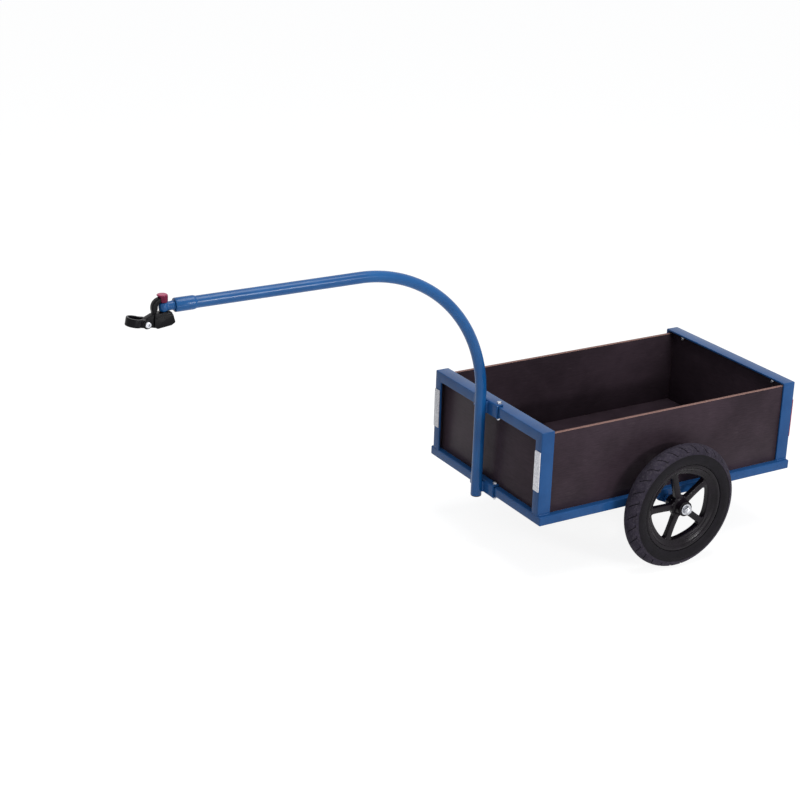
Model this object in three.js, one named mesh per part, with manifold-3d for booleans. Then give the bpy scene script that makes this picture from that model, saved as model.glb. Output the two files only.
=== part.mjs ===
// Cargo bike trailer: a plywood box in a welded angle frame on two pneumatic wheels, towed from a
// bicycle's seat post by a high bent tube. +X is forward, +Y is left, +Z is up, in millimetres.
import * as THREE from 'three';
import { mergeVertices } from 'three/addons/utils/BufferGeometryUtils.js';
import Module from 'manifold-3d';

const wasm = await Module();
wasm.setup();

// Clearances
const seatGap = 0.3;
const shaftGap = 0.15;
const boltGap = 0.3;
const cutReach = 5;
const joinDepth = 1;

// Facets round a full turn
const wheelSides = 36;
const tubeSides = 24;
const armSides = 16;
const roundSides = 16;
const shaftSides = 20;
const boltSides = 12;
const armSteps = 30;
const carcassSteps = 10;
const carcassInnerSteps = 6;
const domeSteps = 4;

// Box and its frame
const boxLength = 764;
const boxWidth = 467;
const axleToFront = 376.5;
const postHeight = 208;
const endLeg = 25;
const sideLeg = 35;
const angleWall = 5;
const angleCorner = 2;
const baseRailWidth = 35;
const baseRailHeight = 23;
const baseTubeWall = 2.5;
const baseTubeCorner = 3;
const baseOverhang = 10;
const baseAboveAxle = 3.5;

// Plywood panels and their screws
const panelThickness = 9;
const endPanelRecess = 14;
const sidePanelDrop = 9;
const panelScrewInset = 55.5;
const panelScrewDrop = 14;
const bossRadius = 7;
const bossWallLeft = 1;
const panelScrewRadius = 3;
const panelScrewLength = 16.5;
const buttonHeadRadius = 5.25;
const buttonHeadHeight = 3.3;
const buttonRimHeight = 1.1;

// Reflectors
const reflectorWidth = 22;
const reflectorHeight = 100;
const reflectorThickness = 2;
const reflectorDrop = 48;
const reflectorInset = 1;

// Wheels
const tyreRadius = 158;
const tyreWidth = 48;
const tyreBeadStep = 1;
const tyreWall = 4.5;
const tyreOpenDegrees = 42;
const beadWidth = 5;
const tubeWall = 1.6;
const wheelFromBase = 44.5;
const rimSeatRadius = 105;
const rimSeatWidth = 8;
const rimWidth = 40;
const rimFlangeHeight = 6;
const rimFlangeWall = 3.4;
const rimWellDepth = 7;
const rimLipDrop = 4;
const rimDishDrop = 9;
const rimDishHalfWidth = 12.5;
const rimRingDrop = 19.5;
const rimRingWidth = 16;
const rimRingBevel = 3;
const spokeCount = 5;
const spokeStartDegrees = 2;
const spokeWidth = 15.5;
const spokeDepth = 16;
const spokeOverlap = 2;
const hubLength = 55;
const hubRadius = 19;
const hubBulge = 5;
const bearingRadius = 14;
const bearingWidth = 8;
const bearingRecess = 0.5;
const hubBoreRadius = 10;
const valveDegrees = 38;
const valveRadius = 4;
const valveBoreRadius = 1.5;
const valveOut = 9;
const valveHoleRadius = 4.4;

// Axle
const axleRadius = 6;
const bracketHalfWidth = 28;
const bracketThickness = 5;
const bracketEyeRadius = 12;
const spacerRadius = 10;
const axleWasherRadius = 15;
const axleWasherThickness = 2.5;
const axleNutFlats = 19;
const axleNutHeight = 8;
const axleNutDomeRadius = 8.4;
const axleNutDomeHeight = 5;
const axleThreadLength = 9;

// Towing arm
const armRadius = 13.45;
const armWall = 2.5;
const armBendRadius = 338;
const armAboveAxle = 589;
const armFootAboveAxle = -7;
const armFrontFromAxle = 1152;
const armCapThickness = 2.5;
const armCapPlug = 12;

// Saddles that carry the arm on the box, and their bolts
const saddleThickness = 4.8;
const saddleBoltSpacing = 80;
const saddleEndMargin = 10;
const saddleBoltRadius = 3;
const saddleBoltFlats = 10;
const saddleBoltHead = 4;
const saddleBoltNut = 5;
const saddleBoltTail = 3;
const saddleBoltBehindFront = 8.5;
const saddleToPanel = 0.5;

// Swivel at the arm's front end
const sleeveRadius = 15.5;
const sleeveLength = 48;
const sleeveTaper = 5;
const sleeveChamfer = 1.5;
const sleeveLip = 0.8;
const sleeveEndWall = 12;
const sleevePastArm = 28;
const shankRadius = 8;
const threadRadius = 6;
const swivelNutFlats = 21;
const swivelNutHeight = 8;
const threadTail = 3;
const collarRadius = 11;
const collarThickness = 3;

// Coupling eye, fork and locking pin
const pinPastSleeve = 24;
const pinRadius = 5;
const eyeRadius = 10.5;
const eyeHeight = 20;
const eyeBevel = 3;
const eyeNeckWidth = 15;
const eyeNeckHeight = 18;
const forkHookRadius = 22.5;
const forkHookInnerRadius = 8.5;
const forkHookCentreFromPin = 5.5;
const forkHookCentreUp = -0.5;
const forkHookInnerUp = 2.5;
const forkHookWidth = 14;
const forkBossRadius = 7.5;
const forkHookFoot = 27.5;
const forkHookInnerFoot = 19;
const forkBlockWidth = 26;
const forkBlockRearTop = -16;
const forkBlockRearFoot = -22;
const forkBlockFront = 25;
const forkBlockTop = -11.5;
const forkBlockRearLow = -34;
const forkBlockFlatFrom = -13;
const forkBlockFlatLow = -39.5;
const forkBlockFrontLow = -43.5;
const forkSeatRadius = 11.5;
const forkLugWidth = 16;
const forkLugRadius = 8;
const pinBlindDepth = 18;
const knobRadius = 11.7;
const knobHeight = 17;
const knobBevel = 1.5;
const knobFootRadius = 9.6;
const knobCap = 5.5;
const knobPinDepth = 3.5;

// Seat-post clamp and its pivot bolt
const pivotFromPin = 42.5;
const pivotBelowArm = 29;
const postLeanDegrees = 12;
const postRadius = 13.6;
const clampReach = 24.5;
const clampWall = 5;
const clampHeight = 18;
const clampEarRadius = 9;
const clampEarWall = 5.5;
const pivotBoltRadius = 4;
const pivotBoltFlats = 13;
const pivotBoltHead = 5.3;
const pivotHeadRadius = 6.5;
const pivotNutHeight = 6.5;
const pivotTail = 3;
const pivotWasherRadius = 10.5;
const pivotWasherThickness = 2;

// Places that follow from the sizes
const tyreHeight = tyreRadius - rimSeatRadius - tyreBeadStep;
const rimFlangeRadius = rimSeatRadius + rimFlangeHeight;
const rimWellRadius = rimSeatRadius - rimWellDepth;
const rimLipRadius = rimSeatRadius - rimLipDrop;
const rimDishRadius = rimSeatRadius - rimDishDrop;
const rimRingRadius = rimSeatRadius - rimRingDrop;
const valveTipRadius = rimRingRadius - valveOut;
const saddleWidth = saddleBoltSpacing + 2 * saddleEndMargin;
const axleZ = tyreRadius;
const frontX = axleToFront;
const rearX = axleToFront - boxLength;
const baseBottom = axleZ + baseAboveAxle;
const baseTop = baseBottom + baseRailHeight;
const frameTop = baseTop + postHeight;
const halfBox = boxWidth / 2;
const halfBase = halfBox + baseOverhang;
const wheelY = halfBase + wheelFromBase;
const armZ = axleZ + armAboveAxle;
const armX = frontX + seatGap + saddleThickness + seatGap + armRadius;
const sleeveFrontFromAxle = armFrontFromAxle + sleevePastArm;
const pinFromAxle = sleeveFrontFromAxle + pinPastSleeve;
const pivotZ = armZ - pivotBelowArm;
const pivotX = pinFromAxle + pivotFromPin;

// A geometry as one closed mesh: corners merged, slivers dropped, faces pointing out.
function closed(geometry) {
  const bare = new THREE.BufferGeometry();
  bare.setAttribute('position', geometry.getAttribute('position'));
  bare.setIndex(geometry.index);
  const merged = mergeVertices(bare);
  const point = merged.getAttribute('position');
  const corners = [0, 1, 2].map(() => new THREE.Vector3());
  const faces = [];
  let volume = 0;
  for (let i = 0; i < merged.index.count; i += 3) {
    const face = [0, 1, 2].map((k) => merged.index.getX(i + k));
    if (new Set(face).size < 3) continue;
    corners.forEach((corner, k) => corner.fromBufferAttribute(point, face[k]));
    volume += corners[0].dot(corners[1].clone().cross(corners[2]));
    faces.push(face);
  }
  merged.setIndex(faces.flatMap((face) => (volume < 0 ? [face[0], face[2], face[1]] : face)));
  return merged;
}

function toSolid(geometry) {
  const mesh = closed(geometry);
  const vertProperties = new Float32Array(mesh.getAttribute('position').array);
  const triVerts = new Uint32Array(mesh.index.array);
  return new wasm.Manifold(new wasm.Mesh({ numProp: 3, vertProperties, triVerts }));
}

function toGeometry(solid) {
  const mesh = solid.getMesh();
  const geometry = new THREE.BufferGeometry();
  geometry.setAttribute('position', new THREE.BufferAttribute(mesh.vertProperties, 3));
  geometry.setIndex(new THREE.BufferAttribute(mesh.triVerts, 1));
  return geometry;
}

function join(...geometries) {
  return toGeometry(geometries.map(toSolid).reduce((whole, next) => whole.add(next)));
}

function cut(geometry, ...tools) {
  return toGeometry(tools.map(toSolid).reduce((whole, tool) => whole.subtract(tool), toSolid(geometry)));
}

// Simple shapes between two corners or two heights
function block(low, high) {
  const size = high.map((value, k) => value - low[k]);
  const middle = high.map((value, k) => (value + low[k]) / 2);
  return new THREE.BoxGeometry(...size).translate(...middle);
}

function rod(radius, from, to, sides = roundSides) {
  const shape = new THREE.CylinderGeometry(radius, radius, to - from, sides);
  return shape.rotateX(Math.PI / 2).translate(0, 0, (from + to) / 2);
}

function hexRod(flats, from, to) {
  return rod(flats / Math.sqrt(3), from, to, 6);
}

// A closed outline of [radius, height] pairs turned about Z
function turned(outline, sides = roundSides) {
  const points = [...outline, outline[0]].map(([radius, height]) => new THREE.Vector2(radius, height));
  return new THREE.LatheGeometry(points, sides).rotateX(Math.PI / 2);
}

const alongX = (geometry) => geometry.rotateY(Math.PI / 2);
const alongY = (geometry) => geometry.rotateX(-Math.PI / 2);
const placed = (geometry, x, y, z) => geometry.clone().translate(x, y, z);

// An outline drawn in X and Z, made a plate between two Y values
function plateXZ(shape, from, to) {
  const settings = { depth: to - from, bevelEnabled: false, curveSegments: boltSides / 2 };
  return new THREE.ExtrudeGeometry(shape, settings).rotateX(Math.PI / 2).translate(0, to, 0);
}

// An outline in the first two of three axes, drawn out along the third, which is named
function drawn(shape, axis, from, to) {
  const settings = { depth: to - from, bevelEnabled: false, curveSegments: 2 };
  const geometry = new THREE.ExtrudeGeometry(shape, settings).translate(0, 0, from);
  const turns = { x: [[0, 1, 0], [0, 0, 1], [1, 0, 0]], y: [[1, 0, 0], [0, 0, 1], [0, 1, 0]] };
  if (axis === 'z') return geometry;
  const columns = turns[axis].map((column) => new THREE.Vector3(...column));
  return geometry.applyMatrix4(new THREE.Matrix4().makeBasis(...columns));
}

// Shears both ends of a drawn length to a mitre: inward(point) says how far each corner draws back
function mitred(geometry, axis, from, to, inward) {
  const position = geometry.getAttribute('position');
  const point = new THREE.Vector3();
  for (let i = 0; i < position.count; i += 1) {
    point.fromBufferAttribute(position, i);
    const back = inward(point) + seatGap / 2;
    if (Math.abs(point[axis] - from) < seatGap) point[axis] += back;
    else if (Math.abs(point[axis] - to) < seatGap) point[axis] -= back;
    position.setXYZ(i, point.x, point.y, point.z);
  }
  return geometry;
}

// The angle section: its corner at the origin, one leg along each positive axis
function angleShape(firstLeg, secondLeg) {
  const shape = new THREE.Shape();
  shape.moveTo(firstLeg, 0);
  shape.lineTo(firstLeg, angleWall);
  shape.lineTo(angleWall, angleWall);
  shape.lineTo(angleWall, secondLeg);
  shape.lineTo(0, secondLeg);
  shape.lineTo(0, angleCorner);
  shape.quadraticCurveTo(0, 0, angleCorner, 0);
  return shape;
}

function mirrorShape(shape, flipFirst, flipSecond, first, second) {
  const points = shape.extractPoints(2).shape;
  const [u, v] = [flipFirst ? -1 : 1, flipSecond ? -1 : 1];
  return new THREE.Shape(points.map((p) => new THREE.Vector2(first + u * p.x, second + v * p.y)));
}

// Frame of the box
function cornerPost(front, side) {
  const endX = front > 0 ? frontX : rearX;
  const shape = mirrorShape(angleShape(sideLeg, endLeg), front > 0, side > 0, endX, side * halfBox);
  const post = drawn(shape, 'z', baseTop + seatGap, frameTop);
  const position = post.getAttribute('position');
  for (let i = 0; i < position.count; i += 1) {
    if (position.getZ(i) < frameTop - seatGap) continue;
    position.setZ(i, frameTop - (halfBox - Math.abs(position.getY(i))) - seatGap / 2);
  }
  return post;
}

function topRail(front) {
  const endX = front > 0 ? frontX : rearX;
  const shape = mirrorShape(angleShape(sideLeg, endLeg), front > 0, true, endX, frameTop);
  const rail = mitred(drawn(shape, 'y', -halfBox, halfBox), 'y', -halfBox, halfBox, (p) => frameTop - p.z);
  const legX = endX - front * angleWall;
  const bossEnd = endX - front * (endPanelRecess - seatGap);
  const bossZ = frameTop - panelScrewDrop;
  const bosses = [-1, 1].map((side) => {
    const ends = [legX + front * joinDepth, bossEnd].sort((a, b) => a - b);
    return placed(alongX(rod(bossRadius, ...ends)), 0, side * (halfBox - panelScrewInset), bossZ);
  });
  const holes = [-1, 1].map((side) => {
    const ends = [legX - front * bossWallLeft, bossEnd - front * cutReach].sort((a, b) => a - b);
    const hole = alongX(rod(panelScrewRadius + boltGap, ...ends, boltSides));
    return placed(hole, 0, side * (halfBox - panelScrewInset), bossZ);
  });
  if (front < 0) return cut(join(rail, ...bosses), ...holes);
  return cut(join(rail, ...bosses), ...holes, ...saddleBoltHoles(frameTop));
}

function tubeShape(width, height) {
  const shape = new THREE.Shape();
  const corner = baseTubeCorner;
  shape.moveTo(corner, 0);
  shape.lineTo(width - corner, 0);
  shape.quadraticCurveTo(width, 0, width, corner);
  shape.lineTo(width, height - corner);
  shape.quadraticCurveTo(width, height, width - corner, height);
  shape.lineTo(corner, height);
  shape.quadraticCurveTo(0, height, 0, height - corner);
  shape.lineTo(0, corner);
  shape.quadraticCurveTo(0, 0, corner, 0);
  const inside = new THREE.Path();
  inside.moveTo(baseTubeWall, baseTubeWall);
  inside.lineTo(baseTubeWall, height - baseTubeWall);
  inside.lineTo(width - baseTubeWall, height - baseTubeWall);
  inside.lineTo(width - baseTubeWall, baseTubeWall);
  shape.holes.push(inside);
  return shape;
}

function baseEndRail(front) {
  const rail = drawn(tubeShape(baseRailWidth, baseRailHeight), 'y', -halfBase, halfBase);
  rail.translate(front > 0 ? frontX - baseRailWidth : rearX, 0, baseBottom);
  const outer = front > 0 ? frontX : rearX;
  const ready = mitred(rail, 'y', -halfBase, halfBase, (p) => Math.abs(outer - p.x));
  return front > 0 ? cut(ready, ...saddleBoltHoles(baseTop)) : ready;
}

// The axle lies in a channel across the underside of each side rail
function baseSideRail(side) {
  const rail = drawn(tubeShape(baseRailWidth, baseRailHeight), 'x', rearX, frontX);
  rail.translate(0, side > 0 ? halfBase - baseRailWidth : -halfBase, baseBottom);
  const ready = mitred(rail, 'x', rearX, frontX, (p) => halfBase - Math.abs(p.y));
  const reach = halfBase + cutReach;
  return cut(ready, placed(alongY(rod(axleRadius + shaftGap, -reach, reach, shaftSides)), 0, 0, axleZ));
}

// Panels stand on the base rails, inside the angles
const sidePanelOuter = halfBox - angleWall - seatGap;
const sidePanelInner = sidePanelOuter - panelThickness;
const panelFoot = baseTop + seatGap;

function sidePanel(side) {
  const ys = [side * sidePanelInner, side * sidePanelOuter].sort((a, b) => a - b);
  const low = [rearX + angleWall + seatGap, ys[0], panelFoot];
  const high = [frontX - angleWall - seatGap, ys[1], frameTop - sidePanelDrop];
  return block(low, high);
}

function endPanel(front) {
  const outer = (front > 0 ? frontX : rearX) - front * endPanelRecess;
  const xs = [outer, outer - front * panelThickness].sort((a, b) => a - b);
  const halfWidth = sidePanelInner - seatGap;
  const panel = block([xs[0], -halfWidth, panelFoot], [xs[1], halfWidth, frameTop - angleWall - seatGap]);
  const holes = [-1, 1].map((side) => {
    const hole = alongX(rod(panelScrewRadius + boltGap, xs[0] - cutReach, xs[1] + cutReach, boltSides));
    return placed(hole, 0, side * (halfBox - panelScrewInset), frameTop - panelScrewDrop);
  });
  return cut(panel, ...holes);
}

function floorPanel() {
  const endInset = endPanelRecess + panelThickness + seatGap;
  const halfWidth = sidePanelInner - seatGap;
  const low = [rearX + endInset, -halfWidth, panelFoot];
  return block(low, [frontX - endInset, halfWidth, panelFoot + panelThickness]);
}

// A button-head screw along X, its head on the panel's inner face
function panelScrew(front, side) {
  const headX = (front > 0 ? frontX : rearX) - front * (endPanelRecess + panelThickness + seatGap);
  const outline = [[0, -buttonHeadHeight], [buttonHeadRadius / 2, -buttonHeadHeight],
    [buttonHeadRadius, -buttonRimHeight], [buttonHeadRadius, 0], [panelScrewRadius, 0],
    [panelScrewRadius, panelScrewLength], [0, panelScrewLength]];
  const screw = alongX(turned(outline, boltSides));
  if (front < 0) screw.rotateZ(Math.PI);
  return placed(screw, headX, side * (halfBox - panelScrewInset), frameTop - panelScrewDrop);
}

function reflector(front, side) {
  const face = (front > 0 ? frontX : rearX) + front * seatGap;
  const xs = [face, face + front * reflectorThickness].sort((a, b) => a - b);
  const edge = halfBox - reflectorInset;
  const ys = [side * edge, side * (edge - reflectorWidth)].sort((a, b) => a - b);
  const top = frameTop - reflectorDrop;
  return block([xs[0], ys[0], top - reflectorHeight], [xs[1], ys[1], top]);
}

// Wheel parts are made about Z with the wheel's outer side up, then turned to face out
const facingOut = (geometry, side) => placed(geometry.rotateX(-side * Math.PI / 2), 0, side * wheelY, axleZ);

function ellipseArc(centre, halfHeight, halfWidth, fromDegrees, toDegrees, steps) {
  return Array.from({ length: steps + 1 }, (_, k) => {
    const angle = THREE.MathUtils.degToRad(fromDegrees + (toDegrees - fromDegrees) * k / steps);
    return [centre + halfHeight * Math.cos(angle), halfWidth * Math.sin(angle)];
  });
}

const tyreCentre = tyreRadius - tyreHeight / 2;
const rimInside = rimWidth / 2 - rimFlangeWall - seatGap;

// The inside of the carcass, or a line a little further in, from bead to bead
function carcassArc(inset) {
  const end = 180 - tyreOpenDegrees;
  return ellipseArc(tyreCentre, tyreHeight / 2 - inset, tyreWidth / 2 - inset, -end, end, carcassInnerSteps);
}

// The tyre is an open C: an elliptic carcass whose two beads sit inside the rim's flanges
function tyre() {
  const end = 180 - tyreOpenDegrees;
  const outside = ellipseArc(tyreCentre, tyreHeight / 2, tyreWidth / 2, -end, end, carcassSteps);
  const inside = carcassArc(tyreWall).reverse();
  const seat = rimSeatRadius + seatGap;
  const bead = (sign) => [[rimFlangeRadius + joinDepth, sign * rimInside], [seat, sign * rimInside],
    [seat, sign * (rimInside - beadWidth)]];
  return turned([...outside, ...bead(1), ...inside, ...bead(-1).reverse()], wheelSides);
}

// The inner tube is hollow, and open at its valve
function innerTube() {
  const fitWall = tyreWall + 2 * seatGap;
  const hoop = (inset) => turned(carcassArc(inset), tubeSides);
  const inner = Math.min(...carcassArc(fitWall).map(([radius]) => radius));
  const stem = (radius, from, to) => {
    const upright = alongX(rod(radius, from, to, boltSides / 2));
    return upright.rotateZ(THREE.MathUtils.degToRad(-valveDegrees));
  };
  const body = join(hoop(fitWall), stem(valveRadius, valveTipRadius, inner + tubeWall));
  const bore = stem(valveBoreRadius, valveTipRadius - cutReach, inner + cutReach);
  return cut(body, hoop(fitWall + tubeWall), bore);
}

function rim() {
  const half = rimWidth / 2;
  const seatHalf = half - rimFlangeWall - rimSeatWidth;
  const ringHalf = rimRingWidth / 2;
  const upperSide = [[rimWellRadius, seatHalf - rimSeatWidth / 2], [rimSeatRadius, seatHalf],
    [rimSeatRadius, half - rimFlangeWall], [rimFlangeRadius, half - rimFlangeWall],
    [rimFlangeRadius, half], [rimLipRadius, half], [rimDishRadius, rimDishHalfWidth],
    [rimRingRadius + rimRingBevel, ringHalf + rimRingBevel / 2], [rimRingRadius, ringHalf]];
  const lowerSide = upperSide.map(([radius, height]) => [radius, -height]).reverse();
  const band = turned([...upperSide, ...lowerSide], wheelSides);
  const hubOutline = [[hubBoreRadius, -hubLength / 2], [hubRadius, -hubLength / 2],
    [hubRadius + hubBulge, -spokeDepth / 2], [hubRadius + hubBulge, spokeDepth / 2],
    [hubRadius, hubLength / 2], [hubBoreRadius, hubLength / 2]];
  const hub = turned(hubOutline, shaftSides);
  const spokes = Array.from({ length: spokeCount }, (_, k) => {
    const low = [hubRadius, -spokeWidth / 2, -spokeDepth / 2];
    const high = [rimRingRadius + spokeOverlap, spokeWidth / 2, spokeDepth / 2];
    const angle = THREE.MathUtils.degToRad(-spokeStartDegrees - 360 * k / spokeCount);
    return block(low, high).rotateZ(angle);
  });
  const seatFrom = hubLength / 2 - bearingRecess - bearingWidth - seatGap;
  const seats = [-1, 1].map((sign) => {
    const ends = [sign * seatFrom, sign * (hubLength / 2 + cutReach)].sort((a, b) => a - b);
    return rod(bearingRadius + shaftGap, ...ends, shaftSides);
  });
  const valveHole = alongX(
    rod(valveHoleRadius, rimRingRadius - cutReach, rimSeatRadius + cutReach, boltSides));
  valveHole.rotateZ(THREE.MathUtils.degToRad(-valveDegrees));
  return cut(join(band, hub, ...spokes), ...seats, valveHole);
}

function ring(innerRadius, outerRadius, from, to, sides = roundSides) {
  return turned([[innerRadius, from], [outerRadius, from], [outerRadius, to], [innerRadius, to]], sides);
}

function bearing(outward) {
  const face = outward * (hubLength / 2 - bearingRecess);
  const ends = [face, face - outward * bearingWidth].sort((a, b) => a - b);
  return ring(axleRadius + shaftGap, bearingRadius, ...ends, shaftSides);
}

// Axle, fixed under the base rails by a bracket with a spacer boss on each side
const bracketOuter = halfBase + seatGap;
const hubInner = wheelY - hubLength / 2 - seatGap;
const hubOuter = wheelY + hubLength / 2 + seatGap;
const nutSeat = hubOuter + axleWasherThickness + seatGap;

function axleBracket(side) {
  const shape = new THREE.Shape();
  const eyeSide = bracketEyeRadius * Math.cos(Math.PI / 4);
  shape.moveTo(bracketHalfWidth, baseBottom - seatGap);
  shape.lineTo(-bracketHalfWidth, baseBottom - seatGap);
  shape.lineTo(-bracketHalfWidth, axleZ);
  shape.lineTo(-eyeSide, axleZ - eyeSide);
  shape.absarc(0, axleZ, bracketEyeRadius, -3 * Math.PI / 4, -Math.PI / 4, false);
  shape.lineTo(bracketHalfWidth, axleZ);
  const plateYs = [side * bracketOuter, side * (bracketOuter - bracketThickness)].sort((a, b) => a - b);
  const bossYs = [side * (bracketOuter - joinDepth), side * hubInner].sort((a, b) => a - b);
  const plate = plateXZ(shape, ...plateYs);
  const boss = placed(alongY(rod(spacerRadius, ...bossYs, shaftSides)), 0, 0, axleZ);
  const rail = block([-bracketHalfWidth - cutReach, -bracketOuter, baseBottom - seatGap],
    [bracketHalfWidth + cutReach, bracketOuter, baseTop]);
  const reach = hubInner + cutReach;
  const bore = placed(alongY(rod(axleRadius + shaftGap, -reach, reach, shaftSides)), 0, 0, axleZ);
  return cut(join(plate, boss), rail, bore);
}

const axleEnd = nutSeat + axleThreadLength;

function axle() {
  return placed(alongY(rod(axleRadius, -axleEnd, axleEnd, shaftSides)), 0, 0, axleZ);
}

function axleWasher(side) {
  const outer = hubOuter + axleWasherThickness;
  const washer = ring(axleRadius + shaftGap, axleWasherRadius, hubOuter, outer, shaftSides);
  return placed(washer.rotateX(-side * Math.PI / 2), 0, 0, axleZ);
}

// A domed nut: a hexagon with a round cap over the axle's end
function axleNut(side) {
  const hexTop = nutSeat + axleNutHeight;
  const cap = Array.from({ length: domeSteps + 1 }, (_, k) => {
    const angle = k * Math.PI / 2 / domeSteps;
    return [axleNutDomeRadius * Math.cos(angle), hexTop + axleNutDomeHeight * Math.sin(angle)];
  });
  const dome = turned([[0, hexTop - joinDepth], [axleNutDomeRadius, hexTop - joinDepth], ...cap], roundSides);
  const bore = rod(axleRadius + shaftGap, nutSeat - cutReach, axleEnd + seatGap, shaftSides);
  const nut = cut(join(hexRod(axleNutFlats, nutSeat, hexTop), dome), bore);
  return placed(nut.rotateX(-side * Math.PI / 2), 0, 0, axleZ);
}

// Towing arm: up in front of the box, over in one bend, then level to the swivel
const armFootZ = axleZ + armFootAboveAxle;

class ArmLine extends THREE.Curve {
  constructor() {
    super();
    this.rise = armZ - armBendRadius - armFootZ;
    this.bend = armBendRadius * Math.PI / 2;
    this.run = armFrontFromAxle - armX - armBendRadius;
  }

  getPoint(share, target = new THREE.Vector3()) {
    const along = share * (this.rise + this.bend + this.run);
    if (along < this.rise) return target.set(armX, 0, armFootZ + along);
    const past = along - this.rise - this.bend;
    if (past > 0) return target.set(armX + armBendRadius + past, 0, armZ);
    const angle = (along - this.rise) / armBendRadius;
    const x = armX + armBendRadius * (1 - Math.cos(angle));
    return target.set(x, 0, armZ - armBendRadius * (1 - Math.sin(angle)));
  }
}

function armTube() {
  const circle = (radius, sides) => Array.from({ length: sides }, (_, k) => {
    const angle = 2 * Math.PI * k / sides;
    return new THREE.Vector2(radius * Math.cos(angle), radius * Math.sin(angle));
  });
  const section = new THREE.Shape(circle(armRadius, armSides));
  section.holes.push(new THREE.Path(circle(armRadius - armWall, armSides / 2)));
  const settings = { steps: armSteps, bevelEnabled: false, extrudePath: new ArmLine() };
  return new THREE.ExtrudeGeometry(section, settings);
}

function armCap() {
  const plugRadius = armRadius - armWall - 3 * seatGap;
  const outline = [[0, -armCapThickness - seatGap], [armRadius - joinDepth, -armCapThickness - seatGap],
    [armRadius, -armCapThickness], [armRadius, -seatGap], [plugRadius, -seatGap],
    [plugRadius, armCapPlug], [0, armCapPlug]];
  return placed(turned(outline, boltSides), armX, 0, armFootZ);
}

// A saddle is a channel that wraps a rail from above, in front and below
function saddleBolts() {
  return [-1, 1].map((side) => [frontX - saddleBoltBehindFront, side * saddleBoltSpacing / 2]);
}

function saddleBoltHoles(height) {
  return saddleBolts().map(([x, y]) => {
    const reach = baseRailHeight + endLeg;
    return placed(rod(saddleBoltRadius + boltGap, height - reach, height + cutReach, boltSides), x, y, 0);
  });
}

function armSaddle(low, high) {
  const rear = frontX - endPanelRecess + saddleToPanel;
  const web = frontX + seatGap + saddleThickness;
  const bottom = low - seatGap - saddleThickness;
  const top = high + seatGap + saddleThickness;
  const outer = block([rear, -saddleWidth / 2, bottom], [web, saddleWidth / 2, top]);
  const inner = block([rear - cutReach, -saddleWidth / 2 - cutReach, low - seatGap],
    [frontX + seatGap, saddleWidth / 2 + cutReach, high + seatGap]);
  const holes = saddleBolts().map(([x, y]) => (
    placed(rod(saddleBoltRadius + boltGap, bottom - cutReach, top + cutReach, boltSides), x, y, 0)));
  return cut(outer, inner, ...holes);
}

function armBolt(low, high, side) {
  const bottom = low - 2 * seatGap - saddleThickness;
  const top = high + 2 * seatGap + saddleThickness;
  const shank = rod(saddleBoltRadius, bottom - saddleBoltNut - saddleBoltTail, top + joinDepth, boltSides);
  const head = hexRod(saddleBoltFlats, top, top + saddleBoltHead);
  const nut = hexRod(saddleBoltFlats, bottom - saddleBoltNut, bottom);
  const x = frontX - saddleBoltBehindFront;
  return placed(join(shank, head, nut), x, side * saddleBoltSpacing / 2, 0);
}

// Swivel: the sleeve is fixed on the arm, and the eye's shank turns in its end wall
const sleeveRear = sleeveFrontFromAxle - sleeveLength;
const shankBore = shankRadius + shaftGap;
const sleeveBore = armRadius + seatGap;
const sleeveWallRear = sleeveFrontFromAxle - sleeveEndWall;

function swivelSleeve() {
  const outline = [[sleeveBore, 0], [sleeveBore + sleeveLip, 0], [sleeveRadius, sleeveTaper],
    [sleeveRadius, sleeveLength - sleeveChamfer], [sleeveRadius - sleeveChamfer, sleeveLength],
    [shankBore, sleeveLength], [shankBore, sleeveLength - sleeveEndWall],
    [sleeveBore, sleeveLength - sleeveEndWall]];
  return placed(alongX(turned(outline, shaftSides)), sleeveRear, 0, armZ);
}

function couplingEye() {
  const shoulder = sleeveWallRear - seatGap;
  const collarX = sleeveFrontFromAxle + seatGap;
  const threadEnd = shoulder - swivelNutHeight - threadTail;
  const neck = block([collarX, -eyeNeckWidth / 2, -eyeNeckHeight / 2],
    [pinFromAxle, eyeNeckWidth / 2, eyeNeckHeight / 2]);
  const top = eyeHeight / 2;
  const barrel = [[0, -top], [eyeRadius - eyeBevel, -top], [eyeRadius, eyeBevel - top],
    [eyeRadius, top - eyeBevel], [eyeRadius - eyeBevel, top], [0, top]];
  const pieces = [
    placed(turned(barrel, shaftSides), pinFromAxle, 0, 0),
    neck,
    alongX(rod(collarRadius, collarX, collarX + collarThickness, shaftSides)),
    alongX(rod(shankRadius, shoulder + seatGap / 2, collarX + joinDepth, shaftSides)),
    alongX(rod(threadRadius, threadEnd, shoulder + joinDepth, boltSides)),
  ];
  const bore = placed(rod(pinRadius + shaftGap, -eyeHeight, eyeHeight, shaftSides), pinFromAxle, 0, 0);
  return placed(cut(join(...pieces), bore), 0, 0, armZ);
}

function swivelNut() {
  const front = sleeveWallRear - seatGap;
  const rear = front - swivelNutHeight;
  const body = alongX(hexRod(swivelNutFlats, rear, front));
  const bore = alongX(rod(threadRadius + shaftGap, rear - cutReach, front + cutReach, boltSides));
  return placed(cut(body, bore), 0, 0, armZ);
}

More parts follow.
